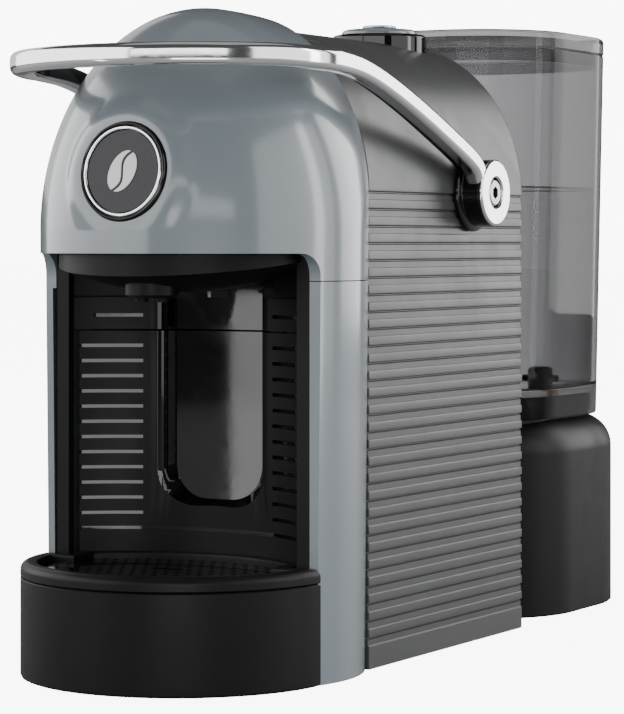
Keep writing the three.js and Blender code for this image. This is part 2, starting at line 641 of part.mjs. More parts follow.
function drawerPieces() {
  const [seamLow, seamHigh] = [TRAY_SEAM - GAP / 2, TRAY_SEAM + GAP / 2];
  piece("drip_tray", cut(upward(trayOutline(0, 0), GROUND_GAP, seamLow),
    upward(trayOutline(TRAY_WALL, TRAY_WALL), GROUND_GAP + TRAY_WALL, TRAY_HEIGHT)), LOOKS.matteBlack);

  const chamfer = 1.6;
  const rim = join(upward(trayOutline(0, 0), seamHigh, TRAY_HEIGHT - chamfer),
    upward(trayOutline(chamfer, 0), TRAY_HEIGHT - chamfer - 0.01, TRAY_HEIGHT));
  const gridTop = TRAY_HEIGHT - GRID_DROP;
  const gridLow = gridTop - GRID_THICKNESS;
  const gridPlan = (clearance) => trayOutline(GRID_RIM - clearance, GRID_RIM / 2 - clearance);
  const ledge = 2;
  piece("tray_rim", cut(rim, upward(gridPlan(GAP), gridLow - GAP, TRAY_HEIGHT + 5),
    upward(gridPlan(-ledge), 0, TRAY_HEIGHT + 5)), LOOKS.matteBlack);

  const holes = [];
  for (const [radius, count] of [[13, 5], [25, 8], [37, 11]]) {
    for (let i = 0; i < count; i++) {
      const angle = Math.PI * (1 + (i + 0.5) / count);
      const [x, y] = [radius * Math.cos(angle), BAY_FACE + radius * Math.sin(angle)];
      holes.push(rod(1.5, [x, y, 0], [x, y, TRAY_HEIGHT + 5], 5));
    }
  }
  const fingerSlot = box(-7, 7, BAY_FACE - 3, BAY_FACE + 0.5, 0, TRAY_HEIGHT + 5);
  piece("drip_grid", cut(upward(gridPlan(0), gridLow, gridTop), fingerSlot, ...holes), LOOKS.matteBlack);
}

function capsuleBin() {
  const top = DRAWER_TOP - GAP;
  const wall = wallCylinder(BACK_WALL_RADIUS + BACK_WALL, GROUND_GAP + 1, top)
    .subtract(wallCylinder(BACK_WALL_RADIUS, -10, top + 1))
    .intersect(box(-DRAWER_HALF_WIDTH, DRAWER_HALF_WIDTH, BAY_FACE, RECESS_FLOOR + BACK_WALL, 0, top));
  const [half, front] = [BIN_HALF_WIDTH, RECESS_FLOOR + BACK_WALL];
  const bin = cut(box(-half, half, front - 6, BIN_REAR, BIN_LOW, BIN_TOP),
    box(BIN_WALL - half, half - BIN_WALL, front, BIN_REAR - BIN_WALL, BIN_LOW + BIN_WALL, BIN_TOP + 5),
    wallCylinder(BACK_WALL_RADIUS, 0, WIDE * 2));
  const slots = [];
  const [slotIn, slotOut] = [RECESS_HALF_WIDTH + 6.2, DRAWER_HALF_WIDTH + 2];
  for (let row = 0; row < SLOT_ROWS; row++) {
    const z = top - 0.7 - SLOT_PITCH * (row + 0.4);
    for (const slot of bothSides(slotIn, slotOut, BACK_WALL_AXIS, 0, z, z + SLOT_HEIGHT)) {
      slots.push(slot.intersect(wallCylinder(BACK_WALL_RADIUS + 1, z - 1, z + 3)));
    }
  }
  const whole = join(wall, recessPan(RECESS_BOTTOM - 4, top), bin);
  piece("capsule_bin", cut(whole, recess(), ...slots), LOOKS.matteBlack);
}

// ---- Lever and its shaft -----------------------------------------------------------------------
// Centre line of the U-shaped bar: two cranked arms and a half-ellipse bow.
// An arm rises steeply at the hub, then bends over to the bow by shares of its length and rise.
function leverPath() {
  const [foot, knee] = [[LEVER_Y - 8.3, LEVER_Z + 4.5], [LEVER_Y - 14.7, LEVER_Z + 11.1]];
  const shoulder = LEVER_TOP - 0.9;
  const bend = [[0.24, 0.319], [0.473, 0.599], [0.695, 0.829], [0.859, 0.954]].map(([along, up]) => [
    THREE.MathUtils.lerp(knee[0], BOW_CENTRE, along), THREE.MathUtils.lerp(knee[1], shoulder, up)]);
  const arm = [foot, knee, ...bend];
  const bow = [...Array(13)].map((_, i) => {
    const angle = Math.PI * i / 12;
    const rise = Math.min(1, Math.sin(angle) * 2);
    const y = BOW_CENTRE - (BOW_CENTRE - LEVER_FRONT) * Math.sin(angle);
    return new THREE.Vector3(LEVER_ARM_X * Math.cos(angle), y, THREE.MathUtils.lerp(shoulder, LEVER_TOP, rise));
  });
  const right = arm.map(([y, z]) => new THREE.Vector3(LEVER_ARM_X, y, z));
  const left = arm.map(([y, z]) => new THREE.Vector3(-LEVER_ARM_X, y, z)).reverse();
  return new THREE.CatmullRomCurve3([...right, ...bow, ...left]);
}

// Sweeps a section of [outward, upward] points along the bar without letting it roll.
function sweepLever(section, steps) {
  const path = leverPath();
  const rings = [...Array(steps + 1)].map((_, i) => {
    const centre = path.getPointAt(i / steps);
    const ahead = path.getTangentAt(i / steps);
    const outward = new THREE.Vector3(ahead.y, -ahead.x, 0);
    if (outward.length() < 0.2) outward.set(Math.sign(centre.x), 0, 0);
    if (outward.x * centre.x < 0 && Math.abs(outward.x) > 0.5) outward.negate();
    if (outward.y > 0.3) outward.negate();
    outward.normalize();
    const up = new THREE.Vector3().crossVectors(outward, ahead).normalize();
    if (up.z < 0) up.negate();
    return section.map(([out, rise]) => centre.clone().addScaledVector(outward, out).addScaledVector(up, rise));
  });
  return loft(rings);
}

function leverPieces() {
  const [halfDepth, halfHeight] = [LEVER_BAR_DEPTH / 2, LEVER_BAR_HEIGHT / 2];
  const corner = 2.2;
  const section = [[-halfDepth, -halfHeight], [halfDepth - corner, -halfHeight],
    [halfDepth - 0.6, 0.6 - halfHeight], [halfDepth, corner - halfHeight], [halfDepth, halfHeight - corner],
    [halfDepth - 0.6, halfHeight - 0.6], [halfDepth - corner, halfHeight], [-halfDepth, halfHeight]];
  const hubSpace = across(HUB_RADIUS + GAP, WIDE, 24);
  piece("lever_bar", cut(sweepLever(section, 44), hubSpace), LOOKS.chrome);
  const insertCentre = -halfDepth - GAP - 0.7;
  const strip = [[insertCentre - 0.7, -2.6], [insertCentre + 0.7, -2.6], [insertCentre + 0.7, 2.6],
    [insertCentre - 0.7, 2.6]];
  const hubFootSpace = across(HUB_RADIUS + HUB_FOOT + GAP, WIDE, 24);
  piece("lever_insert", cut(sweepLever(strip, 40), hubFootSpace), LOOKS.glossBlack);

  const spread = (name, make, look) => {
    for (const [side, sign] of [["right", 1], ["left", -1]]) piece(`${name}_${side}`, make(sign), look);
  };
  const onAxis = (profile, sign, sides = 24) => spun(profile.map(([r, x]) => [r, sign * x]),
    { at: [0, LEVER_Y, LEVER_Z], axis: "x", sides });
  const flankX = BODY_HALF_WIDTH + GAP;
  const hubFace = HUB_FACE - HUB_CAP;
  const bore = SHAFT_RADIUS + GAP;
  const footRadius = HUB_RADIUS + HUB_FOOT;
  spread("hub", (sign) => onAxis([[bore, flankX], [footRadius, flankX], [footRadius, flankX + 1.6],
    [HUB_RADIUS, flankX + 2.6], [HUB_RADIUS, hubFace], [2.1, hubFace], [2.1, hubFace - 2], [bore, hubFace - 2]],
  sign), LOOKS.glossBlack);
  spread("hub_cap", (sign) => onAxis([[5.4, hubFace + GAP], [HUB_RADIUS, hubFace + GAP],
    [HUB_RADIUS, HUB_FACE - 0.5], [HUB_RADIUS - 0.5, HUB_FACE], [6, HUB_FACE], [5.4, HUB_FACE - 0.5]], sign),
  LOOKS.chrome);
  spread("hub_screw", (sign) => join(onAxis([[0, hubFace + GAP], [3.6, hubFace + GAP], [3.6, HUB_FACE - 0.3],
    [0, HUB_FACE - 0.3]], sign, 6), onAxis([[0, hubFace - 9], [1.8, hubFace - 9], [1.8, hubFace + 0.6],
      [0, hubFace + 0.6]], sign, 12)),
  LOOKS.steel);
  const inside = BODY_HALF_WIDTH - BODY_WALL;
  const collar = BUSH_RADIUS + 1.8;
  spread("hub_bush", (sign) => onAxis([[bore, inside - 2.3], [collar, inside - 2.3], [collar, inside - 1],
    [BUSH_RADIUS, inside - 1], [BUSH_RADIUS, BODY_HALF_WIDTH - GAP], [bore, BODY_HALF_WIDTH - GAP]], sign, 20),
  LOOKS.whitePlastic);
  leverShaft(hubFace - 2 - GAP);
}

function leverShaft(end) {
  const webIn = YOKE_HALF_WIDTH + 1;
  const webOut = webIn + CRANK_WEB;
  const pinZ = LEVER_Z + CRANK_THROW;
  const webs = bothSides(webIn, webOut, LEVER_Y - SHAFT_RADIUS, LEVER_Y + SHAFT_RADIUS, LEVER_Z - SHAFT_RADIUS,
    pinZ + SHAFT_RADIUS);
  const halves = [1, -1].map((sign, i) => {
    const shaft = rod(SHAFT_RADIUS, [sign * webIn, LEVER_Y, LEVER_Z], [sign * end, LEVER_Y, LEVER_Z]);
    const thread = rod(2.1, [sign * (end + 1), LEVER_Y, LEVER_Z], [sign * (end - 8.7), LEVER_Y, LEVER_Z], 12);
    return cut(join(shaft, webs[i]), thread);
  });
  const pin = rod(CRANK_PIN, [0.5 - webOut, LEVER_Y, pinZ], [webOut - 0.5, LEVER_Y, pinZ], 16);
  piece("lever_shaft", join(pin, ...halves), LOOKS.steel);
}

// ---- Brew unit ---------------------------------------------------------------------------------
function brewPieces() {
  const inner = BREW_HALF_WIDTH - BREW_PLATE;
  const rear = LEVER_Y + 12.3;
  const sides = bothSides(inner, BREW_HALF_WIDTH, BREW_FRONT, rear, BREW_LOW, BREW_HIGH);
  const floor = box(-BREW_HALF_WIDTH, BREW_HALF_WIDTH, BREW_FRONT, rear, BREW_LOW, BREW_LOW + BREW_PLATE);
  const chute = CAPSULE_RADIUS + 1;
  const drop = box(-chute, chute, BREW_FRONT - 1, LID_REAR + 8, BREW_LOW - 5, BREW_LOW + 5);
  piece("brew_frame", cut(join(floor, ...sides), drop, across(SHAFT_RADIUS + 0.5, 2 * BREW_HALF_WIDTH)),
    LOOKS.steel);

  const chamberRear = BREW_FRONT + CHAMBER_LENGTH;
  const seatFront = BREW_FRONT + 3;
  const under = BREW_HEIGHT - CAPSULE_RADIUS - 2;
  const block = box(GAP - inner, inner - GAP, BREW_FRONT, chamberRear, under, BREW_HIGH);
  const seat = rod(CAPSULE_RADIUS, [0, seatFront, BREW_HEIGHT], [0, chamberRear + 9, BREW_HEIGHT], 32);
  const slot = box(-CAPSULE_RADIUS, CAPSULE_RADIUS, seatFront, chamberRear + 9, BREW_HEIGHT, BREW_HIGH + 10);
  const port = COFFEE_PORT_HEIGHT;
  const coffeeHole = rod(2, [0, BREW_FRONT - 5, port], [0, BREW_FRONT + 5, port], 10);
  piece("capsule_chamber", cut(block, seat, slot, coffeeHole), LOOKS.steel);

  const pistonRadius = CAPSULE_RADIUS - 2;
  const pistonRear = PISTON_FRONT + PISTON_LENGTH;
  const piston = rod(pistonRadius, [0, PISTON_FRONT, BREW_HEIGHT], [0, pistonRear, BREW_HEIGHT], 32);
  const slack = CRANK_PIN + CRANK_SLACK;
  const [yokeFront, yokeRear] = [LEVER_Y - slack - 4.5, LEVER_Y + slack + 4.5];
  const stem = rod(YOKE_HALF_WIDTH, [0, pistonRear - 4, BREW_HEIGHT], [0, yokeFront + 2, BREW_HEIGHT], 16);
  const yoke = cut(box(-YOKE_HALF_WIDTH, YOKE_HALF_WIDTH, yokeFront, yokeRear, LEVER_Z - 7, BREW_HEIGHT + 6),
    box(-WIDE, WIDE, LEVER_Y - slack, LEVER_Y + slack, LEVER_Z - SHAFT_RADIUS - 0.5,
      LEVER_Z + CRANK_THROW + CRANK_PIN + 1.5));
  piece("plunger", join(piston, stem, yoke), LOOKS.steel);
  const sealInner = pistonRadius - 3;
  piece("plunger_seal", spun([[sealInner, 0], [pistonRadius, 0], [pistonRadius + 0.4, 1], [pistonRadius, 2],
    [sealInner, 2]], { at: [0, PISTON_FRONT - GAP, BREW_HEIGHT], axis: "-y" }), LOOKS.rubber);
}

function capsuleLid() {
  const band = archPrism(0, ARCH_START, LID_FRONT, LID_REAR - GAP)
    .subtract(archPrism(BODY_WALL, ARCH_START - 1, LID_FRONT - 1, LID_REAR + 1));
  piece("capsule_lid", band.intersect(box(-LID_HALF_WIDTH, LID_HALF_WIDTH, LID_FRONT - 1, LID_REAR,
    ROOF - ARCH_RISE / 2, ROOF + 1)), LOOKS.bodyPaint);
}

// ---- Power button ------------------------------------------------------------------------------
function buttonPieces() {
  const at = { at: [0, BUTTON_Y, 0] };
  const seat = BEZEL_TOP - 2.8;
  const [tubeOut, tubeIn, tubeLow] = [BUTTON_RADIUS - 2.3, BUTTON_RADIUS - 4.1, SWITCH_TOP - 9];
  const [collarLow, well] = [BUTTON_STEM_LOW - 0.7, BUTTON_RADIUS + 0.5];
  piece("button_bezel", spun([[5, seat - 2], [tubeIn, seat - 2], [tubeIn, tubeLow], [tubeOut, tubeLow],
    [tubeOut, collarLow], [BEZEL_RADIUS, collarLow], [BEZEL_RADIUS, BEZEL_TOP - 0.6],
    [BEZEL_RADIUS - 0.6, BEZEL_TOP], [well, BEZEL_TOP], [well, seat], [5, seat]], at), LOOKS.glossBlack);
  const capLow = BEZEL_TOP - 0.2;
  piece("power_button", spun([[0, BUTTON_STEM_LOW], [4.5, BUTTON_STEM_LOW], [4.5, capLow], [BUTTON_RADIUS, capLow],
    [BUTTON_RADIUS, CAP_TOP - 1.4], [BUTTON_RADIUS - 1.4, CAP_TOP - 0.3], [BUTTON_RADIUS / 2, CAP_TOP],
    [0, CAP_TOP]], at), LOOKS.hoodPaint);
  piece("button_disc", spun([[0, CAP_TOP + GAP], [DISC_RADIUS, CAP_TOP + GAP], [DISC_RADIUS, DISC_TOP - 0.3],
    [DISC_RADIUS - 0.4, DISC_TOP],
    [0, DISC_TOP]], at), LOOKS.steel);
  piece("button_spring", coil(0, BUTTON_Y, SWITCH_TOP + GAP, BUTTON_STEM_LOW - GAP, 3.4, 0.5, 4), LOOKS.steel);
  const shoulder = SWITCH_TOP - 3;
  piece("button_switch", join(rod(tubeIn - GAP, [0, BUTTON_Y, shoulder - 5], [0, BUTTON_Y, shoulder]),
    box(-4, 4, BUTTON_Y - 4, BUTTON_Y + 4, shoulder - 1, SWITCH_TOP)), LOOKS.whitePlastic);
}

// ---- Pump, heater, hoses and board -------------------------------------------------------------
function waterPieces() {
  const { height, front, rear, half, nose, noseFront, noseRear } = PUMP;
  piece("pump", join(box(-half, half, front, rear, height - half, height + half),
    rod(nose, [0, noseFront, height], [0, front + 1, height]),
    rod(nose, [0, rear - 1, height], [0, noseRear, height])), LOOKS.steel);
  for (const [end, y] of Object.entries(PUMP.mounts)) {
    piece(`pump_mount_${end}`, rod(MOUNT_RADIUS, [0, y - 4, height], [0, y + 4, height])
      .subtract(rod(nose + GAP, [0, y - 5, height], [0, y + 5, height])), LOOKS.rubber);
  }
  const { portFront, port } = HEATER;
  piece("heater_block", join(box(-HEATER.half, HEATER.half, HEATER.front, HEATER.rear, HEATER.low, HEATER.high),
    rod(4, [0, portFront, port], [0, HEATER.front + 1, port], 16)), LOOKS.steel);
  const riser = Math.min(noseFront, portFront) - 6;   // where the hose climbs in front of both ports
  piece("pressure_hose", hose([[0, noseFront - GAP, height], [0, noseFront - 2.6, height],
    [0, riser + 0.5, height + 4], [0, riser, height + 10], [0, riser, port - 10], [0, riser + 0.5, port - 4],
    [0, portFront - 2.6, port], [0, portFront - GAP, port]], 2.4, { steps: 24 }), LOOKS.whitePlastic);
  piece("suction_hose", hose([[0, noseRear + GAP, height], [0, BODY_REAR + 2.5, height],
    [4, BASE_FRONT + 15, height], [16, VALVE_Y - 14, height + 2], [VALVE_X, VALVE_Y, BASE_TOP - 23],
    [VALVE_X, VALVE_Y, BASE_TOP - 7]], SUCTION_RADIUS), LOOKS.rubber);
  const boardX = 1 + GAP + BODY_WALL - BODY_HALF_WIDTH;
  const [boardFront, low] = [BODY_REAR - 79.5, 60];
  piece("control_board", join(box(boardX, boardX + 1.6, boardFront, BODY_REAR - 14.5, low, low + 80),
    box(boardX + 1, boardX + 14, boardFront + 10, boardFront + 28, low + 10, low + 26),
    box(boardX + 1, boardX + 10, boardFront + 38, boardFront + 58, low + 48, low + 68),
    rod(5, [boardX + 1, boardFront + 18, low + 60], [boardX + 16, boardFront + 18, low + 60], 16)), LOOKS.board);
}

// ---- Rear base and water tank ------------------------------------------------------------------
function baseSquare(inset, z) {
  return ringAt(roundedSquare(BASE_HALF_WIDTH - inset, BASE_FRONT + inset, BASE_REAR - inset,
    Math.max(4, BASE_CORNER - inset)), z);
}

function tankSquare(inset, z) {
  const draft = TANK_DRAFT * (TANK_TOP - z) / (TANK_TOP - TANK_BOTTOM);
  const shrink = inset + draft;
  return ringAt(roundedSquare(TANK_HALF_WIDTH - shrink, TANK_FRONT + inset, TANK_REAR - shrink,
    TANK_CORNER - shrink), z);
}

function rearBase() {
  const edge = [...Array(5)].map((_, i) => {
    const angle = Math.PI / 2 * i / 4;
    return baseSquare(BASE_EDGE * (1 - Math.cos(angle)), BASE_TOP - BASE_EDGE * (1 - Math.sin(angle)));
  });
  const outer = loft([baseSquare(0, GROUND_GAP), ...edge]);
  const floorTop = FOOT_HEIGHT + GAP + FLOOR_THICKNESS;
  const hollow = loft([baseSquare(BASE_WALL, floorTop), baseSquare(BASE_WALL, BASE_TOP - BASE_EDGE),
    baseSquare(BASE_EDGE, BASE_TOP - BASE_WALL)]);
  const underside = loft([baseSquare(BASE_WALL, -1), baseSquare(BASE_WALL, FOOT_HEIGHT + GAP)]);
  const [neckFront, neckTop, neckInner] = [BODY_REAR + GAP, BASE_TOP - BASE_EDGE, NECK_HALF_WIDTH - BASE_WALL];
  const neck = box(-NECK_HALF_WIDTH, NECK_HALF_WIDTH, neckFront, BASE_FRONT + 10, GROUND_GAP, neckTop);
  const neckHollow = box(-neckInner, neckInner, neckFront - 1, BASE_FRONT + 20, floorTop, neckTop - BASE_WALL);
  const plateau = loft([tankSquare(2 * TANK_WALL, BASE_TOP - 4), tankSquare(2 * TANK_WALL, PLATEAU_TOP)]);
  const gland = [[0, BASE_REAR - 10, GLAND_HEIGHT], [0, BASE_REAR + 5, GLAND_HEIGHT]];
  const glandHole = rod(GLAND_RADIUS + GAP, ...gland, 16);
  const spigot = [[VALVE_X, VALVE_Y, BASE_TOP - 17], [VALVE_X, VALVE_Y, TANK_FLOOR]];
  const hoseHole = rod(SUCTION_RADIUS + 2, ...spigot, 16);
  piece("rear_base", cut(join(outer, neck, plateau), hollow, neckHollow, underside, glandHole, hoseHole),
    LOOKS.matteBlack);
  const [bore, collar, wall] = [GLAND_RADIUS - 1.4, GLAND_RADIUS + 2, BASE_WALL + GAP];
  piece("cable_gland", spun([[bore, 0], [GLAND_RADIUS, 0], [GLAND_RADIUS, wall], [collar, wall],
    [collar, wall + 3.1], [bore, wall + 3.1]], { at: [0, BASE_REAR - 0.2, GLAND_HEIGHT], axis: "-y", sides: 16 }), LOOKS.rubber);
}

function tankPieces() {
  const floorLow = TANK_FLOOR - TANK_FLOOR_THICKNESS;
  const outer = loft([tankSquare(0, TANK_BOTTOM), tankSquare(0, TANK_TOP)]);
  const inner = loft([tankSquare(TANK_WALL, TANK_FLOOR), tankSquare(TANK_WALL, TANK_TOP + 1)]);
  const skirt = loft([tankSquare(TANK_WALL, TANK_BOTTOM - 1), tankSquare(TANK_WALL, floorLow)]);
  const valveHole = rod(2.3, [VALVE_X, VALVE_Y, BASE_TOP], [VALVE_X, VALVE_Y, TANK_FLOOR + 10], 12);
  piece("water_tank", cut(outer, inner, skirt, valveHole), LOOKS.smoke);

  const plugInset = TANK_WALL + GAP + 0.2;
  const plug = loft([tankSquare(plugInset, TANK_TOP - LID_PLUG), tankSquare(plugInset, TANK_TOP + 1)]);
  const lid = loft([tankSquare(0, TANK_TOP + GAP), tankSquare(0, LID_TOP - 1.5), tankSquare(1.5, LID_TOP)]);
  const under = plugInset + 2.5;
  const hollow = loft([tankSquare(under, TANK_TOP - LID_PLUG - 1), tankSquare(under, LID_TOP - 2.5)]);
  piece("tank_lid", cut(join(lid, plug), hollow), LOOKS.smoke);
}

// Poppet valve in the tank floor, its spring and the filter cage over them, and the spigot in the base below.
function valvePieces() {
  const at = { at: [VALVE_X, VALVE_Y, 0], sides: 20 };
  const [cageLow, cageTop] = [TANK_FLOOR + GAP, TANK_FLOOR + 8];
  const [cageRadius, cageBore, lidLow] = [4.2, 3.3, cageTop - 1.2];
  const cage = spun([[cageBore, cageLow], [cageRadius, cageLow], [cageRadius, cageTop - 1], [cageBore, cageTop],
    [0, cageTop], [0, lidLow], [cageBore, lidLow]], at);
  const earHeight = TANK_FLOOR + 3.4;
  const ears = [1, -1].map((sign) => rod(1.3, [VALVE_X + sign * (cageRadius - 0.4), VALVE_Y, earHeight],
    [VALVE_X + sign * (cageRadius + 2.3), VALVE_Y, earHeight], 12));
  const windows = box(VALVE_X - 1.2, VALVE_X + 1.2, VALVE_Y - 6, VALVE_Y + 6, TANK_FLOOR + 2, TANK_FLOOR + 5.5);
  piece("tank_filter", cut(join(cage, ...ears), windows), LOOKS.matteBlack);

  const stemLow = TANK_FLOOR - TANK_FLOOR_THICKNESS + 0.1;
  const headTop = cageLow + 1.2;
  const [stem, head] = [1.8, cageBore - 0.4];
  piece("tank_valve", spun([[0, stemLow], [stem, stemLow], [stem, cageLow], [head, cageLow], [head, headTop],
    [0, headTop]], { ...at, sides: 16 }), LOOKS.brass);
  piece("valve_spring", coil(VALVE_X, VALVE_Y, headTop + GAP, lidLow - GAP, 2.1, 0.35, 3), LOOKS.steel);

  const [spigot, bore, spigotTop] = [SUCTION_RADIUS + 0.4, 1.6, PLATEAU_TOP - 0.4];
  const [foot, collar] = [BASE_TOP - 6.4, spigotTop - 1.6];
  piece("tank_seat", spun([[bore, foot], [spigot, foot], [spigot, collar], [spigot + 1.3, collar],
    [spigot + 1.3, spigotTop - 0.6], [spigot - 0.4, spigotTop], [bore, spigotTop]], { ...at, sides: 16 }),
  LOOKS.rubber);
}

// ---- Feet and fasteners ------------------------------------------------------------------------
function feetAndScrews() {
  const [frontX, frontY] = [BODY_HALF_WIDTH - 15, BODY_FRONT + 12.5];
  const [rearX, rearY] = [BASE_HALF_WIDTH - 22, BASE_REAR - 26.5];
  const places = [[frontX, frontY], [-frontX, frontY], [rearX, rearY], [-rearX, rearY]];
  const profile = [[0, 0], [FOOT_RADIUS - 0.6, 0], [FOOT_RADIUS, 0.6], [FOOT_RADIUS, FOOT_HEIGHT],
    [0, FOOT_HEIGHT]];
  places.forEach(([x, y], i) => piece(`foot_${i + 1}`,
    spun(profile, { at: [x, y, 0], sides: 20 }), LOOKS.rubber));
  const headLow = GROUND_GAP + 0.1;
  const screw = [[0, headLow], [3, headLow], [3, FOOT_HEIGHT], [1.5, FOOT_HEIGHT], [1.5, FOOT_HEIGHT + 9.5],
    [0, FOOT_HEIGHT + 10.3]];
  [-SCREW_X, SCREW_X].forEach((x, i) => piece(`base_screw_${i + 1}`,
    spun(screw, { at: [x, SCREW_Y, 0], sides: 12 }), LOOKS.steel));
}

bodyPieces();
frontPieces();
bayLiner();
brewHeadCover();
coffeeSpout();
badgePieces();
drawerPieces();
capsuleBin();
leverPieces();
brewPieces();
capsuleLid();
buttonPieces();
waterPieces();
rearBase();
tankPieces();
valvePieces();
feetAndScrews();

export default machine;
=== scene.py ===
"""Pod coffee machine: the visible shells, trims, lever and tank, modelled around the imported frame."""
import json
import math

import bmesh
import bpy
from bpy.props import FloatProperty, FloatVectorProperty, IntProperty, PointerProperty
from mathutils import Matrix, Vector


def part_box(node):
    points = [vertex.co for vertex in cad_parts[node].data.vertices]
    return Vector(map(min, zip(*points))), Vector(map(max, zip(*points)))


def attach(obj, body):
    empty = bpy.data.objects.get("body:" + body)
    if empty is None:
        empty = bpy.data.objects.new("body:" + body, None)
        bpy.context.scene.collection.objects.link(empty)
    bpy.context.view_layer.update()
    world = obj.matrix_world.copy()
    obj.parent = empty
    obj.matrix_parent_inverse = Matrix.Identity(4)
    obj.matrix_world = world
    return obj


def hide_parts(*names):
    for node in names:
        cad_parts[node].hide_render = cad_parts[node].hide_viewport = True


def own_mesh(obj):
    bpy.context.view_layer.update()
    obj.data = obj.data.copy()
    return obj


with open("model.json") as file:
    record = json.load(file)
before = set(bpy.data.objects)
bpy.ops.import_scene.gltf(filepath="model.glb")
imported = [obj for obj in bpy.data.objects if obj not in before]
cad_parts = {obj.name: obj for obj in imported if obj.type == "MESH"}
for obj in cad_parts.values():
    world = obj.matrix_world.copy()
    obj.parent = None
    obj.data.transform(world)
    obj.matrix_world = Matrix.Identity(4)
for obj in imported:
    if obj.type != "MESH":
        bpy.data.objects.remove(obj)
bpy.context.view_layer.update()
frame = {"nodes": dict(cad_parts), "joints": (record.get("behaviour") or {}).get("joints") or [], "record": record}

bl_info = {
    "name": "Pod Coffee Machine",
    "version": (1, 0, 0),
    "blender": (4, 5, 0),
    "location": "View3D > Sidebar > Coffee Machine",
    "description": "Models the visible parts of a pod coffee machine around its packed frame",
    "category": "Add Mesh",
}

MM = 0.001  # every length below is in millimetres, and the meshes are in metres
MIRROR = Matrix.Scale(-1, 4, (1, 0, 0))


def box_mm(part):
    """Lowest and highest corners of a frame part, in millimetres."""
    low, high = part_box(part)
    return low / MM, high / MM


# ---- Sizes read from the frame, and the few that shape the curves between them ----
GAP = 0.3  # clearance between neighbours
FAR = 100  # past either side of the machine
SHELL_LOW, SHELL_HIGH = box_mm("body_shell")
SHELL_WALL = 2.5
ARCH_RISE = 58.0
ARCH_START = SHELL_HIGH.z - ARCH_RISE
HOOD_LOW, HOOD_HIGH = box_mm("front_hood")
FRAME_LOW, FRAME_HIGH = box_mm("front_frame")
FRONT_HALF = HOOD_HIGH.x
FRONT_DEPTH = 53.0
FRONT_CENTRE = HOOD_LOW.y + FRONT_DEPTH
FRONT_RISE = ARCH_RISE + 18
FRONT_START = HOOD_HIGH.z - FRONT_RISE
FRONT_WALL = 2.6
FRONT_TAPER = 1.6  # how far each side of the front leans in towards its foot
SIDE_STEPS = 10
NOSE_STEPS = 56
REAR_EDGE_START = ARCH_START - 2.5
REAR_EDGE_RISE = ARCH_RISE + 6.4
SEAM = (HOOD_LOW.z + FRAME_HIGH.z) / 2
LINER_LOW, LINER_HIGH = box_mm("bay_liner")
BAY_FACE = FRAME_LOW.y
BAY_HALF = LINER_HIGH.x + GAP
BAY_TOP = LINER_HIGH.z + GAP
BAY_CORNER = 7.5
FLANGE_WIDTH = 5.0
BIN_LOW, BIN_HIGH = box_mm("capsule_bin")
DRAWER_TOP = BIN_HIGH.z + GAP
DRAWER_HALF = BIN_HIGH.x
WALL_SAG = 20.0  # depth of the concave wall's arc
WALL_CHORD = BAY_HALF - 3
WALL_RADIUS = (WALL_CHORD ** 2 + WALL_SAG ** 2) / (2 * WALL_SAG)
WALL_DEEPEST = BAY_FACE + 23
WALL_AXIS = WALL_DEEPEST - WALL_RADIUS
WALL = 2.4
LEDGE_TOP = BAY_TOP - 15.3
RECESS_OUTER = 22.2
RECESS_INNER = 17.1
RECESS_DEPTH = 2.8
RECESS_LOW = 52.0
COVER_LOW, COVER_HIGH = box_mm("brew_head_cover")
SPOUT_LOW, SPOUT_HIGH = box_mm("coffee_spout")
TRAY_LOW, TRAY_HIGH = box_mm("drip_tray")
RIM_LOW, RIM_HIGH = box_mm("tray_rim")
TRAY_RADIUS = TRAY_HIGH.x
TRAY_CENTRE = TRAY_LOW.y + TRAY_RADIUS
GRID_LOW, GRID_HIGH = box_mm("drip_grid")
GRID_RIM = 6.0
BAR_LOW, BAR_HIGH = box_mm("lever_bar")
CAP_LOW, CAP_HIGH = box_mm("hub_cap_right")
LEVER_AXIS = Vector(next(j["pos_m"] for j in frame["joints"] if j["name"] == "lever_lift")) / MM
HUB_RADIUS = (CAP_HIGH.z - CAP_LOW.z) / 2
BUTTON_LOW, BUTTON_HIGH = box_mm("power_button")
BUTTON_Y = (BUTTON_LOW.y + BUTTON_HIGH.y) / 2
BUTTON_RADIUS = BUTTON_HIGH.x
COLLAR_HIGH = box_mm("button_bezel")[1]
LID_LOW, LID_HIGH = box_mm("capsule_lid")
BASE_LOW, BASE_HIGH = box_mm("rear_base")
BASE_FRONT = SHELL_HIGH.y + 7.5
BASE_TOP = 77.0
TANK_LOW, TANK_HIGH = box_mm("water_tank")
TANK_LID_LOW, TANK_LID_HIGH = box_mm("tank_lid")
TANK_CORNER = 38.0
TANK_DRAFT = 3.0  # how far the tank narrows from its top to its foot
FILTER_LOW, FILTER_HIGH = box_mm("tank_filter")
FILTER_X = (FILTER_LOW.x + FILTER_HIGH.x) / 2
FILTER_Y = (FILTER_LOW.y + FILTER_HIGH.y) / 2

# The badge lies on the sloping hood, in a boss that swells up round it
BADGE_RADIUS = 16.3
BADGE_ABOVE = 19.5
BADGE_SUNK = 0.6
BADGE_AT = (0, FRONT_CENTRE - BADGE_SUNK - FRONT_DEPTH * math.sqrt(1 - (BADGE_ABOVE / FRONT_RISE) ** 2),
            FRONT_START + BADGE_ABOVE)
BADGE_TURN = Matrix.Rotation(math.radians(-97), 4, "X")
BOSS_START = 17.2
BOSS_END = 26.5
BOSS_LEVEL = 1.4

# Slots in the concave wall of the cup bay
SLOT_COUNT = 12
SLOT_PITCH = 5.25
SLOT_HEIGHT = 1.25
SLOT_DEPTH = 1
SLOT_TOP = BIN_HIGH.z - 5.7
SLOT_INNER = RECESS_OUTER + 3.6

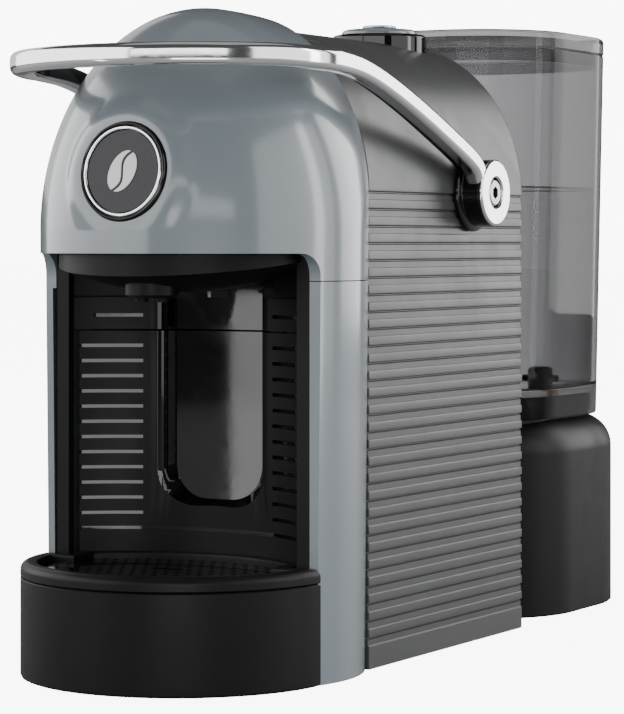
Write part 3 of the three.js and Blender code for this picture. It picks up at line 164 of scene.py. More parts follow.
# Centre line of the lever bar
BAR_HALF_WIDTH = 3.5
BAR_HALF_HEIGHT = 3.75
ARM_X = BAR_HIGH.x - BAR_HALF_WIDTH
LEVER_FRONT = BAR_LOW.y + BAR_HALF_WIDTH
LEVER_TOP = BAR_HIGH.z - BAR_HALF_HEIGHT
BOW_CENTRE = FRONT_CENTRE - 12

# Heights between which the tools for the roof's openings reach
UNDER_ROOF, UNDER_LID, ABOVE_ROOF = 180, 190, 240

# The camera stands level in front and to the right, in metres, and looks a little down by its shift
CAMERA_PLACE = (0.5083, -0.9324, 0.1467)
CAMERA_AZIMUTH = 29.2
CAMERA_LENS = 144.5
CAMERA_SHIFT = -0.1625

# Upright soft lights: name, azimuth in degrees, distance, width, foot, top, brightness and the point faced
LIGHTS = (
    ("light_left", -61, 1500, 3300, 115, 1300, 3.0, (0, 0)),
    ("light_right", 91, 1500, 1950, 5, 1250, 2.0, (0, 0)),
    ("light_right_strip", 107, 1400, 230, 5, 1150, 6.0, (0, 0)),
    ("light_rear_right", 150, 1500, 950, 60, 1150, 4.4, (0, 0)),
    ("light_rear_left", -122, 1500, 900, 250, 1250, 0.9, (0, 0)),
    ("card_lever", 16, 1100, 1170, 258, 390, 3.0, (0, FRONT_CENTRE)),
    ("card_left", -29.9, 400, 26, 12, 122, 4.0, (10.5, WALL_DEEPEST)),
    ("card_right", 33, 390, 220, 5, 112, 4.2, (-36, BAY_FACE)),
)


# ---- Values that a user would change ----
class MachineSizes(bpy.types.PropertyGroup):
    """Sizes of the visible detail."""
    groove_count: IntProperty(name="Grooves", description="Grooves on each flank", default=27, min=0, max=40)
    groove_pitch: FloatProperty(name="Groove Pitch", description="Height from one groove to the next, mm",
                                default=5.83, min=2)
    groove_depth: FloatProperty(name="Groove Depth", description="Depth of each groove, mm", default=1.1,
                                min=0)
    ledge_depth: FloatProperty(name="Ledge Depth", description="Step half way up each rib, mm", default=0.45,
                               min=0)
    rim_rounding: FloatProperty(name="Rim Rounding", description="Radius round the drip tray's rim, mm",
                                default=2.6, min=0.2)
    base_rounding: FloatProperty(name="Base Rounding", description="Radius round the rear base's top, mm",
                                 default=13.0, min=1)
    water_level: FloatProperty(name="Water Level", description="Height of the water in the tank, mm",
                               default=168.0, min=95, max=215)


class MachineColours(bpy.types.PropertyGroup):
    """Colours of the main finishes."""
    hood: FloatVectorProperty(name="Hood", description="Glossy front shell", subtype="COLOR", size=3,
                              default=(0.175, 0.206, 0.226), min=0, max=1)
    body: FloatVectorProperty(name="Body", description="Satin ribbed shell", subtype="COLOR", size=3,
                              default=(0.07, 0.0712, 0.0732), min=0, max=1)
    trim: FloatVectorProperty(name="Trim", description="Black trims", subtype="COLOR", size=3,
                              default=(0.006, 0.006, 0.0065), min=0, max=1)
    smoke: FloatVectorProperty(name="Smoke", description="Clear tank", subtype="COLOR", size=3,
                               default=(0.56, 0.56, 0.57), min=0, max=1)


FINISHES = {}  # materials by name, filled by the finishes operator


# ---- Modelling helpers ----
def select_only(obj=None):
    """Leaves edit mode and selects nothing, or one object."""
    if bpy.context.object and bpy.context.object.mode != "OBJECT":
        bpy.ops.object.mode_set(mode="OBJECT")
    bpy.ops.object.select_all(action="DESELECT")
    if obj:
        obj.select_set(True)
        bpy.context.view_layer.objects.active = obj


def start(name, primitive, **settings):
    """Adds a primitive whose place is in its mesh."""
    select_only()
    primitive(**settings)
    obj = bpy.context.object
    obj.name = obj.data.name = name
    bpy.ops.object.transform_apply(location=True, rotation=True, scale=True)
    return obj


class Editing:
    """Edit mode on one object, with nothing selected at first."""

    def __init__(self, obj, mode="VERT"):
        self.obj, self.mode = obj, mode

    def __enter__(self):
        select_only(self.obj)
        bpy.ops.object.mode_set(mode="EDIT")
        bpy.ops.mesh.select_mode(type=self.mode)
        bpy.ops.mesh.select_all(action="DESELECT")
        return self

    def __exit__(self, *_):
        bpy.ops.object.mode_set(mode="OBJECT")

    def pick(self, test):
        """Selects the faces, edges or vertices whose middle passes the test, in millimetres."""
        mesh = bmesh.from_edit_mesh(self.obj.data)
        bpy.ops.mesh.select_all(action="DESELECT")
        for item in {"VERT": mesh.verts, "EDGE": mesh.edges, "FACE": mesh.faces}[self.mode]:
            points = [item.co] if self.mode == "VERT" else [v.co for v in item.verts]
            middle = sum(points, Vector()) / len(points) / MM
            item.select_set(bool(test(middle, item)))
        mesh.select_flush_mode()
        bmesh.update_edit_mesh(self.obj.data)


def close_up(obj):
    """Merges doubles, fills open ends and turns the faces outwards."""
    with Editing(obj):
        bpy.ops.mesh.select_all(action="SELECT")
        bpy.ops.mesh.remove_doubles(threshold=1e-6)
        bpy.ops.mesh.dissolve_degenerate(threshold=1e-7)
        bpy.ops.mesh.delete_loose()
        bpy.ops.mesh.select_all(action="SELECT")
        bpy.ops.mesh.fill_holes(sides=0)
        bpy.ops.mesh.select_all(action="SELECT")
        bpy.ops.mesh.normals_make_consistent(inside=False)


def skin(name, rings):
    """A grid laid over a row of closed rings, with its seam and ends closed."""
    across, along = len(rings[0]), len(rings) - 1
    obj = start(name, bpy.ops.mesh.primitive_grid_add, x_subdivisions=across, y_subdivisions=along, size=1)
    for vertex in obj.data.vertices:
        column, row = round((vertex.co.x + 0.5) * across), round((vertex.co.y + 0.5) * along)
        vertex.co = Vector(rings[row][column % across]) * MM
    close_up(obj)
    return obj


def prism(name, outline, low, high, axis="z"):
    """An outline drawn across the axis and extruded along it."""
    put = {"z": lambda a, b: (a, b, low), "y": lambda a, b: (a, low, b), "x": lambda a, b: (low, a, b)}[axis]
    along = {"z": Vector((0, 0, 1)), "y": Vector((0, 1, 0)), "x": Vector((1, 0, 0))}[axis] * (high - low) * MM
    obj = start(name, bpy.ops.mesh.primitive_circle_add, vertices=len(outline), radius=1, fill_type="NGON")
    for vertex, point in zip(obj.data.vertices, outline):
        vertex.co = Vector(put(*point)) * MM
    with Editing(obj):
        bpy.ops.mesh.select_all(action="SELECT")
        bpy.ops.mesh.extrude_region_move(TRANSFORM_OT_translate={"value": along})
        bpy.ops.mesh.select_all(action="SELECT")
        bpy.ops.mesh.normals_make_consistent(inside=False)
    return obj


def block(name, low, high):
    """A box between two corners, used as a cutting tool or the start of a piece."""
    outline = [(low[0], low[1]), (high[0], low[1]), (high[0], high[1]), (low[0], high[1])]
    return prism(name, outline, low[2], high[2])


def lathe(name, profile, at=(0, 0, 0), turn=None, steps=72):
    """A closed profile of (radius, height) points spun about an axis, then turned and put in place."""
    obj = start(name, bpy.ops.mesh.primitive_circle_add, vertices=len(profile), radius=1, fill_type="NOTHING")
    for vertex, (radius, height) in zip(obj.data.vertices, profile):
        vertex.co = Vector((radius, 0, height)) * MM
    with Editing(obj):
        bpy.ops.mesh.select_all(action="SELECT")
        bpy.ops.mesh.spin(steps=steps, angle=2 * math.pi, center=(0, 0, 0), axis=(0, 0, 1))
    close_up(obj)
    obj.matrix_world = Matrix.Translation(Vector(at) * MM) @ (turn or Matrix.Identity(4))
    select_only(obj)
    bpy.ops.object.transform_apply(location=True, rotation=True, scale=True)
    return obj


def rod(name, radius, low, high, at=(0, 0, 0), turn=None, steps=72):
    """A plain cylinder between two heights on its axis."""
    return lathe(name, [(0, low), (radius, low), (radius, high), (0, high)], at, turn, steps)


def side_block(side, inner, outer, low, high):
    """A block on one side, between two distances from the middle and two corners in Y and Z."""
    near, far = sorted((side * inner, side * outer))
    return block("tool", (near, *low), (far, *high))


def modify(obj, kind, **settings):
    """Adds a modifier and applies it."""
    select_only(obj)
    bpy.ops.object.modifier_add(type=kind)
    modifier = obj.modifiers[-1]
    for key, value in settings.items():
        setattr(modifier, key, value)
    bpy.ops.object.modifier_apply(modifier=modifier.name)


def combine(obj, operation, *tools):
    """Cuts, joins or intersects with each tool, and removes the tools."""
    for tool in tools:
        modify(obj, "BOOLEAN", operation=operation, solver="EXACT", object=tool)
        select_only(tool)
        bpy.ops.object.delete()
    return obj


def cut(obj, *tools):
    """Takes the tools away from the object."""
    return combine(obj, "DIFFERENCE", *tools)


def keep_inside(obj, *tools):
    """Keeps what lies inside the tools."""
    return combine(obj, "INTERSECT", *tools)


def join(obj, *others):
    """Joins the others to the object."""
    return combine(obj, "UNION", *others)


def round_edges(obj, width, segments=3, angle=35):
    """Rounds every edge sharper than the angle."""
    modify(obj, "BEVEL", width=width * MM, segments=segments, limit_method="ANGLE",
           angle_limit=math.radians(angle), use_clamp_overlap=True)


def copy_of(obj, name, matrix=None):
    """A copy with its own mesh, turned or mirrored in place."""
    select_only(obj)
    bpy.ops.object.duplicate()
    twin = bpy.context.object
    twin.name = twin.data.name = name
    if matrix:
        twin.data.transform(matrix)
        if matrix.determinant() < 0:
            twin.data.flip_normals()
    return twin


def settle(obj, finish, body, *nodes, slot=None, angle=32):
    """Shades a piece, gives it its finish and hands it to its body. Its slot argument is not used."""
    slot = slot or finish
    select_only(obj)
    bpy.ops.object.shade_smooth_by_angle(angle=math.radians(angle))
    modify(obj, "WEIGHTED_NORMAL", keep_sharp=True)
    if not obj.data.materials:
        obj.data.materials.append(None)
    obj.data.materials[0] = FINISHES[finish]
    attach(obj, body)
    if nodes:
        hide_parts(*nodes)
    return obj


def paint_faces(obj, finish, test):
    """Gives the faces that pass the test a second finish."""
    finish = FINISHES[finish]
    if finish not in obj.data.materials[:]:
        obj.data.materials.append(finish)
    with Editing(obj, "FACE") as editing:
        editing.pick(test)
        obj.active_material_index = obj.data.materials[:].index(finish)
        bpy.ops.object.material_slot_assign()


# ---- Outlines ----
def arc(centre, radii, first, last, steps):
    """Points on an ellipse between two angles in degrees."""
    points = []
    for i in range(steps + 1):
        angle = math.radians(first + (last - first) * i / steps)
        points.append((centre[0] + radii[0] * math.cos(angle), centre[1] + radii[1] * math.sin(angle)))
    return points


def arch(half, begin, rise, foot, foot_half, steps=96):
    """Arch in X and Z, from its right foot over the top to its left foot."""
    return [(foot_half, foot), *arc((0, begin), (half, rise), 0, 180, steps), (-foot_half, foot)]


def lerp(a, b, t):
    """The value that lies a share of the way from one to the other."""
    return a + (b - a) * t


def quarter(steps):
    """What is left of 1 after the cosine and the sine, for angles from 0 to 90 degrees."""
    angles = [math.pi / 2 * i / steps for i in range(steps + 1)]
    return [(1 - math.cos(angle), 1 - math.sin(angle)) for angle in angles]


def placed_rings(ring, places):
    """Rings of one outline at several (inset, height) places."""
    return [ring(inset, z) for inset, z in places]


def front_rings(inset, foot, rear):
    """Arches of the front shell, from its rear edge forward to the nose."""
    reach = SHELL_LOW.y - FRONT_CENTRE
    rings = []

    def add(y, half, begin, rise):
        taper = half / FRONT_HALF * FRONT_TAPER * (begin - foot) / FRONT_START
        foot_half = max(0.0, half - taper)
        rings.append([(x, y, z) for x, z in arch(half, begin, rise, foot, foot_half)])

    for i in range(SIDE_STEPS):
        y = lerp(rear, FRONT_CENTRE, i / SIDE_STEPS)
        t = ((y - FRONT_CENTRE) / reach) ** 2
        add(y, lerp(FRONT_HALF, SHELL_HIGH.x, t) - inset, lerp(FRONT_START, REAR_EDGE_START, t),
            lerp(FRONT_RISE, REAR_EDGE_RISE, t) - inset)
    for i in range(NOSE_STEPS + 1):
        angle = math.pi / 2 * i / NOSE_STEPS
        shrink = math.cos(angle) if i < NOSE_STEPS else 0.0
        y = FRONT_CENTRE - (FRONT_DEPTH - inset) * math.sin(angle)
        add(y, (FRONT_HALF - inset) * shrink, FRONT_START, (FRONT_RISE - inset) * shrink)
    return rings


def wall_arc(radius, half, steps=32):
    """Points along the concave wall of the cup bay, from right to left."""
    reach = math.degrees(math.asin(half / radius))
    return arc((0, WALL_AXIS), (radius, radius), 90 - reach, 90 + reach, steps)


def rounded_square(half, front, rear, corner, steps=14):
    """Rounded square in plan."""
    places = [(half - corner, rear - corner, 0), (corner - half, rear - corner, 90),
              (corner - half, front + corner, 180), (half - corner, front + corner, 270)]
    return [p for x, y, first in places for p in arc((x, y), (corner, corner), first, first + 90, steps)]


def tray_outline(inset, wall_inset):
    """Plan of the drip tray: a round front, a narrower neck and the concave wall behind."""
    radius = TRAY_RADIUS - inset
    step = BAY_FACE - GAP - inset
    begin = math.degrees(math.asin((TRAY_CENTRE - step) / radius))
    neck = DRAWER_HALF - inset
    front = arc((0, TRAY_CENTRE), (radius, radius), 180 + begin, 360 - begin, 72)
    return [*wall_arc(WALL_RADIUS - GAP - wall_inset, neck, 24), (-neck, step), *front, (neck, step)]


# ---- Shader groups, each built once and placed with its own values ----
def node(tree, kind, inputs=(), **settings):
    """Adds a node. Its inputs are constants or the sockets that feed them."""
    made = tree.nodes.new(kind)
    for key, value in settings.items():
        setattr(made, key, value)
    for key, value in dict(inputs).items():
        if isinstance(value, bpy.types.NodeSocket):
            tree.links.new(value, made.inputs[key])
        else:
            made.inputs[key].default_value = value
    return made


def new_group(name, inputs, outputs):
    """An empty shader group with named sockets."""
    tree = bpy.data.node_groups.new(name, "ShaderNodeTree")
    for label, kind, value in inputs:
        tree.interface.new_socket(label, in_out="INPUT", socket_type=kind).default_value = value
    for label, kind in outputs:
        tree.interface.new_socket(label, in_out="OUTPUT", socket_type=kind)
    return tree, node(tree, "NodeGroupInput").outputs, node(tree, "NodeGroupOutput")


FLOAT, COLOUR, VECTOR = "NodeSocketFloat", "NodeSocketColor", "NodeSocketVector"


def noise(tree, place, scale, detail, distortion=0.0):
    """A noise field over a place."""
    return node(tree, "ShaderNodeTexNoise", {"Vector": place, "Scale": scale, "Detail": detail,
                                             "Distortion": distortion}).outputs[0]


def spread_about(tree, field, given):
    """Turns a noise field into a roughness that spreads about the given one."""
    low, high = [node(tree, "ShaderNodeMath", {0: given["Roughness"], 1: given["Roughness Spread"]},
                      operation=kind).outputs[0] for kind in ("SUBTRACT", "ADD")]
    return node(tree, "ShaderNodeMapRange", {"Value": field, "From Min": 0.3, "From Max": 0.7,
                                             "To Min": low, "To Max": high}).outputs[0]


def moulded_surface():
    """Fine grain, soft patches of tone, and wiped patches of gloss on a moulded or painted part."""
    tree, given, put = new_group(
        "Moulded Surface",
        [("Tone", COLOUR, (0.5, 0.5, 0.5, 1)), ("Second Tone", COLOUR, (0.4, 0.4, 0.4, 1)),
         ("Roughness", FLOAT, 0.4), ("Roughness Spread", FLOAT, 0.05), ("Grain Scale", FLOAT, 2500.0),
         ("Patch Scale", FLOAT, 30.0)],
        [("Tone", COLOUR), ("Roughness", FLOAT), ("Height", FLOAT)])
    place = node(tree, "ShaderNodeTexCoord").outputs["Object"]
    grain = noise(tree, place, given["Grain Scale"], 2.0)
    patch = noise(tree, place, given["Patch Scale"], 5.0)
    wiped = noise(tree, place, given["Patch Scale"], 3.0, 1.5)
    mask = node(tree, "ShaderNodeMapRange", {"Value": patch, "From Min": 0.35, "From Max": 0.65})
    tone = node(tree, "ShaderNodeMix", {0: mask.outputs[0], 6: given["Tone"], 7: given["Second Tone"]},
                data_type="RGBA")
    tree.links.new(tone.outputs[2], put.inputs["Tone"])
    tree.links.new(spread_about(tree, wiped, given), put.inputs["Roughness"])
    tree.links.new(grain, put.inputs["Height"])


def drawn_metal():
    """Fine lines drawn one way over a metal part."""
    tree, given, put = new_group(
        "Drawn Metal",
        [("Stretch", VECTOR, (1.0, 1.0, 1.0)), ("Scale", FLOAT, 900.0), ("Roughness", FLOAT, 0.2),
         ("Roughness Spread", FLOAT, 0.05)],
        [("Roughness", FLOAT), ("Height", FLOAT)])
    place = node(tree, "ShaderNodeTexCoord").outputs["Object"]
    mapped = node(tree, "ShaderNodeMapping", {"Vector": place, "Scale": given["Stretch"]})
    lines = noise(tree, mapped.outputs[0], given["Scale"], 3.0)
    tree.links.new(spread_about(tree, lines, given), put.inputs["Roughness"])
    tree.links.new(lines, put.inputs["Height"])


def settled_dust():
    """A thin veil of dust on faces that look up."""
    tree, given, put = new_group(
        "Settled Dust",
        [("Tone", COLOUR, (0.5, 0.5, 0.5, 1)), ("Dust", COLOUR, (0.35, 0.34, 0.32, 1)),
         ("Amount", FLOAT, 0.05), ("Scale", FLOAT, 120.0)],
        [("Tone", COLOUR), ("Mask", FLOAT)])
    up = node(tree, "ShaderNodeSeparateXYZ", {0: node(tree, "ShaderNodeNewGeometry").outputs["Normal"]})
    facing = node(tree, "ShaderNodeMapRange", {"Value": up.outputs["Z"], "From Min": 0.6, "From Max": 1.0})
    place = node(tree, "ShaderNodeTexCoord").outputs["Object"]
    spots = noise(tree, place, given["Scale"], 6.0)
    veil = node(tree, "ShaderNodeMapRange", {"Value": spots, "From Min": 0.4, "From Max": 0.75})
    mask = node(tree, "ShaderNodeMath", {0: facing.outputs[0], 1: veil.outputs[0]}, operation="MULTIPLY")
    mask = node(tree, "ShaderNodeMath", {0: mask.outputs[0], 1: given["Amount"]}, operation="MULTIPLY")
    tone = node(tree, "ShaderNodeMix", {0: mask.outputs[0], 6: given["Tone"], 7: given["Dust"]},
                data_type="RGBA")
    tree.links.new(tone.outputs[2], put.inputs["Tone"])
    tree.links.new(mask.outputs[0], put.inputs["Mask"])


def principled(name, **constants):
    """A material with one Principled shader whose plain sockets hold the constants."""
    material = bpy.data.materials.new(name)
    material.use_nodes = True
    shader = material.node_tree.nodes["Principled BSDF"]
    for key, value in constants.items():
        shader.inputs[key.replace("_", " ")].default_value = value
    return material, material.node_tree, shader


def place_group(tree, name, inputs):
    """Places a shader group with its own values."""
    return node(tree, "ShaderNodeGroup", inputs, node_tree=bpy.data.node_groups[name]).outputs


def bump(tree, height, depth_mm, **below):
    """A normal raised by a height field."""
    inputs = {"Height": height, "Distance": depth_mm * MM, **below}
    return node(tree, "ShaderNodeBump", inputs).outputs["Normal"]


def glow_by_ray(tree, level, strengths):
    """Adds the strength that each kind of ray sees to a level that all rays see."""
    rays = node(tree, "ShaderNodeLightPath").outputs
    for kind, strength in strengths.items():
        level = node(tree, "ShaderNodeMath", {0: rays[kind], 1: strength, 2: level},
                     operation="MULTIPLY_ADD").outputs[0]
    return level


def rgba(colour, share=1.0):
    """A colour at a share of its strength, with its alpha."""
    return (*[channel * share for channel in colour], 1.0)


def moulded(name, colour, roughness, spread=0.04, grain_mm=0.4, bump_mm=0.004, patch_mm=30.0, shade=0.9,
            dust=0.0, streaks_mm=0.0, **constants):
    """Plastic, paint or rubber with grain, patches of tone and gloss, and perhaps dust and long streaks."""
    material, tree, shader = principled(name, **constants)
    surface = place_group(tree, "Moulded Surface", {
        "Tone": rgba(colour), "Second Tone": rgba(colour, shade), "Roughness": roughness,
        "Roughness Spread": spread, "Grain Scale": 1 / (grain_mm * MM), "Patch Scale": 1 / (patch_mm * MM)})
    tone = surface["Tone"]
    if dust:
        tone = place_group(tree, "Settled Dust", {"Tone": tone, "Amount": dust})["Tone"]
    normal = bump(tree, surface["Height"], bump_mm)
    if streaks_mm:
        lines = place_group(tree, "Drawn Metal", {"Stretch": (1, 0.02, 1)})
        normal = bump(tree, lines["Height"], streaks_mm, Normal=normal)
    tree.links.new(tone, shader.inputs["Base Color"])
    tree.links.new(surface["Roughness"], shader.inputs["Roughness"])
    tree.links.new(normal, shader.inputs["Normal"])
    return material


def metal(name, colour, roughness, spread=0.03, stretch=(1, 1, 1), scale=900.0, bump_mm=0.001):
    """Bare or plated metal with drawn lines."""
    material, tree, shader = principled(name, Base_Color=rgba(colour), Metallic=1.0)
    lines = place_group(tree, "Drawn Metal", {"Stretch": stretch, "Scale": scale, "Roughness": roughness,
                                              "Roughness Spread": spread})
    tree.links.new(lines["Roughness"], shader.inputs["Roughness"])
    tree.links.new(bump(tree, lines["Height"], bump_mm), shader.inputs["Normal"])
    return material


def clear(name, colour, edge, roughness, ior, ripple_mm, ripple_scale=60.0):
    """Clear plastic or water, slightly wavy, and darker where it is seen edge on."""
    material, tree, shader = principled(name, Base_Color=rgba(colour), Roughness=roughness, IOR=ior,
                                        Transmission_Weight=1.0)
    place = node(tree, "ShaderNodeTexCoord").outputs["Object"]
    waves = noise(tree, place, ripple_scale, 1.0)
    facing = node(tree, "ShaderNodeLayerWeight", {"Blend": 0.5})
    depth = node(tree, "ShaderNodeMath", {0: facing.outputs["Facing"], 1: 0.9}, operation="POWER")
    tint = node(tree, "ShaderNodeMix", {0: depth.outputs[0], 6: rgba(colour), 7: rgba(colour, edge)},
                data_type="RGBA")
    tree.links.new(tint.outputs[2], shader.inputs["Base Color"])
    tree.links.new(bump(tree, waves, ripple_mm), shader.inputs["Normal"])
    return material


def make_finishes(colours):
    """All the finishes, by the names that the pieces ask for."""
    moulded_surface()
    drawn_metal()
    settled_dust()
    trim = tuple(colours.trim)
    return {
        "hood_paint": moulded("Hood paint", tuple(colours.hood), 0.3, 0.02, grain_mm=1.6, bump_mm=0.004,
                              patch_mm=60, shade=0.96, dust=0.03, Coat_Weight=1.0, Coat_Roughness=0.13),
        "body_paint": moulded("Body paint", tuple(colours.body), 0.34, 0.04, grain_mm=0.25, bump_mm=0.003,
                              patch_mm=25, shade=0.92, dust=0.03, streaks_mm=0.012, Metallic=0.25),
        "matte_black": moulded("Satin black", trim, 0.42, 0.05, grain_mm=0.35, bump_mm=0.006, dust=0.02,
                               Specular_IOR_Level=0.16),
        "gloss_black": moulded("Polished black", tuple(c / 2 for c in trim), 0.05, 0.02, grain_mm=2.0,
                               bump_mm=0.002, patch_mm=18, dust=0.02),
        "chrome_plate": metal("Chrome plate", (0.86, 0.87, 0.89), 0.11, 0.03, scale=300.0, bump_mm=0.0005),
        "plain_steel": metal("Plain steel", (0.45, 0.46, 0.47), 0.28, 0.06, stretch=(1, 1, 12)),
        "disc_metal": metal("Dark brushed disc", (0.035, 0.035, 0.037), 0.3, 0.06, stretch=(12, 1, 1)),
        "cast_aluminium": metal("Cast aluminium", (0.6, 0.6, 0.6), 0.5, 0.08, scale=1500.0, bump_mm=0.02),
        "valve_brass": metal("Turned brass", (0.6, 0.42, 0.18), 0.25, 0.05, stretch=(1, 1, 20)),
        "black_rubber": moulded("Matt rubber", (0.02, 0.02, 0.02), 0.75, 0.06, grain_mm=0.5, bump_mm=0.02,
                                dust=0.08),
        "white_plastic": moulded("Natural plastic", (0.7, 0.68, 0.62), 0.5, 0.05),
        "emblem_white": moulded("Emblem lacquer", (0.78, 0.78, 0.78), 0.3, 0.03, bump_mm=0.002),
        "circuit_board": moulded("Board lacquer", (0.02, 0.12, 0.06), 0.35, 0.08, grain_mm=1.5, bump_mm=0.02),
        "smoke_clear": clear("Smoky clear plastic", tuple(colours.smoke), 0.08, 0.02, 1.14, 0.004),
        "smoke_dark": clear("Dark smoky plastic", (0.42, 0.42, 0.425), 0.3, 0.06, 1.2, 0.004),
        "smoke_foot": clear("Dark tank foot", (0.12, 0.12, 0.122), 0.3, 0.08, 1.2, 0.004),
        "water": clear("Water", (0.86, 0.865, 0.87), 0.5, 0.0, 1.08, 0.01, 40.0),
    }


# ---- Pieces ----
class PieceOperator(bpy.types.Operator):
    """Base of the operators below: reads the sizes and makes its pieces."""
    bl_options = {"REGISTER", "UNDO"}

    def execute(self, context):
        self.make(context.scene.machine_sizes)
        return {"FINISHED"}


class MACHINE_OT_finishes(PieceOperator):
    """Makes the finishes that all the pieces share"""
    bl_idname = "machine.finishes"
    bl_label = "Finishes"

    def make(self, sizes):
        FINISHES.update(make_finishes(bpy.context.scene.machine_colours))


def shell_outline(sizes, inset):
    """Cross-section of the body: ribbed flanks under an arch."""
    half, depth, ledge = SHELL_HIGH.x - inset, sizes.groove_depth, sizes.ledge_depth
    drop, chamfer, ledge_share = 2.3, 0.5, 0.56
    plinth = ARCH_START - sizes.groove_pitch * (sizes.groove_count - 1) - drop
    flank = [(half, SHELL_LOW.z), (half, plinth - chamfer), (half - chamfer, plinth)]
    for k in range(sizes.groove_count - 1, -1, -1):
        z = ARCH_START - sizes.groove_pitch * k
        flank += [(half - ledge, z - 0.45), (half - depth, z - 0.12), (half - depth, z + 0.12),
                  (half - 0.08, z + 0.45), (half, z + 0.75)]
        if k:
            middle = z + sizes.groove_pitch * ledge_share
            flank += [(half, middle - 0.3), (half - 0.12, middle), (half - ledge, middle + 0.22)]
    roof = arc((0, ARCH_START), (half, ARCH_RISE - inset), 0, 180, 96)
    over = [point for point in roof if point[1] > ARCH_START + 1.2]
    return [*flank, *over, *[(-x, z) for x, z in reversed(flank)]]


def button_well():
    """Clears the roof for the button's collar."""
    return rod("tool", COLLAR_HIGH.x + GAP, UNDER_ROOF, ABOVE_ROOF, (0, BUTTON_Y, 0))


class MACHINE_OT_body_shell(PieceOperator):
    """Ribbed body shell with an arched roof"""
    bl_idname = "machine.body_shell"
    bl_label = "Body Shell"

    def make(self, sizes):
        chamfer, rounding = 0.25, 3.0
        places = [(SHELL_LOW.y, chamfer), (SHELL_LOW.y + chamfer, 0.0)]
        places += [(SHELL_HIGH.y - rounding * back, rounding * inward * 0.5) for inward, back in quarter(5)]
        shell = skin("shell_ribbed", [[(x, y, z) for x, z in shell_outline(sizes, inset)]
                                      for y, inset in places])
        inner = SHELL_HIGH.x - SHELL_WALL
        inside = arch(inner, ARCH_START, ARCH_RISE - SHELL_WALL, -5, inner)
        half = LID_HIGH.x + GAP
        cut(shell, prism("tool", inside, SHELL_LOW.y - 5, SHELL_HIGH.y + 5, axis="y"),
            block("tool", (-half, SHELL_LOW.y - 5, UNDER_LID), (half, LID_HIGH.y + GAP, ABOVE_ROOF)),
            button_well())
        settle(shell, "body_paint", "housing", "body_shell", angle=24)


class MACHINE_OT_rear_cover(PieceOperator):
    """Rear cover with a row of vents"""
    bl_idname = "machine.rear_cover"
    bl_label = "Rear Cover"

    def make(self, sizes):
        low, high = box_mm("rear_cover")
        inset = SHELL_HIGH.x - high.x
        outline = arch(high.x, ARCH_START, ARCH_RISE - inset, low.z, high.x)
        cover = prism("cover_rear", outline, low.y, high.y, axis="y")
        half, top, tall, pitch, count = 24, 198, 2, 5, 5
        vents = [block("tool", (-half, low.y - 5, top - tall - pitch * i), (half, high.y + 5, top - pitch * i))
                 for i in range(count)]
        round_edges(cut(cover, *vents, button_well()), 0.5, 2)
        settle(cover, "body_paint", "housing", "rear_cover")


def bay_tool():
    """The opening of the cup bay, drawn from the side and run right across."""
    far = BAY_FACE - 120
    corner = arc((BAY_FACE - BAY_CORNER, BAY_TOP - BAY_CORNER), (BAY_CORNER, BAY_CORNER), 0, 90, 12)
    return prism("tool", [(far, -10), (BAY_FACE, -10), *corner, (far, BAY_TOP)], -FAR, FAR, axis="x")


def raise_boss(shell):
    """Swells the shell softly up to the plane of the badge."""
    place = Matrix.Translation(Vector(BADGE_AT)) @ BADGE_TURN
    back = place.inverted()
    for vertex in shell.data.vertices:
        spot = back @ (vertex.co / MM)
        t = (math.hypot(spot.x, spot.y) - BOSS_START) / (BOSS_END - BOSS_START)
        if t < 1 and spot.z < 20:
            t = max(0.0, t)
            spot.z = min(spot.z, lerp(BOSS_LEVEL, spot.z, t * t * (3 - 2 * t)))
            vertex.co = (place @ spot) * MM


def returns(shell, front, low, high):
    """Solid strips that turn in beside the bay opening, on both sides."""
    strips = []
    for side in (1, -1):
        strip = side_block(side, BAY_HALF, FAR, (front, low), (BAY_FACE + FRONT_WALL, high))
        strips.append(cut(keep_inside(strip, copy_of(shell, "tool")), bay_tool()))
    return strips


class MACHINE_OT_front_shells(PieceOperator):
    """Glossy domed hood and the two columns below it"""
    bl_idname = "machine.front_shells"
    bl_label = "Front Shells"

    def make(self, sizes):
        rear = SHELL_LOW.y - GAP
        hood = skin("hood_front", front_rings(0, FRAME_LOW.z, rear))
        columns = copy_of(hood, "columns_front")
        raise_boss(hood)
        strips = returns(hood, BAY_FACE - BAY_CORNER - 1, SEAM - 3, BAY_TOP + 1)
        cut(hood, skin("tool", front_rings(FRONT_WALL, FRAME_LOW.z - 5, rear + 3)), bay_tool())
        join(hood, *strips)
        cut(hood, block("tool", (-FAR, -2 * FAR, -10), (FAR, 0, SEAM + GAP / 2)),
            rod("tool", BADGE_RADIUS + GAP, -5, 25, BADGE_AT, BADGE_TURN))
        round_edges(hood, 0.5, 3, 50)
        settle(hood, "hood_paint", "housing", "front_hood", angle=40)

        strips = returns(columns, BAY_FACE - 2, -10, SEAM + 3)
        cut(columns, skin("tool", front_rings(FRONT_WALL, FRAME_LOW.z - 5, rear + 3)), bay_tool())
        join(columns, *strips)
        cut(columns, block("tool", (-FAR, -2 * FAR, SEAM - GAP / 2), (FAR, 0, 3 * FAR)))
        round_edges(columns, 0.5, 3, 50)
        settle(columns, "hood_paint", "housing", "front_frame", angle=40)


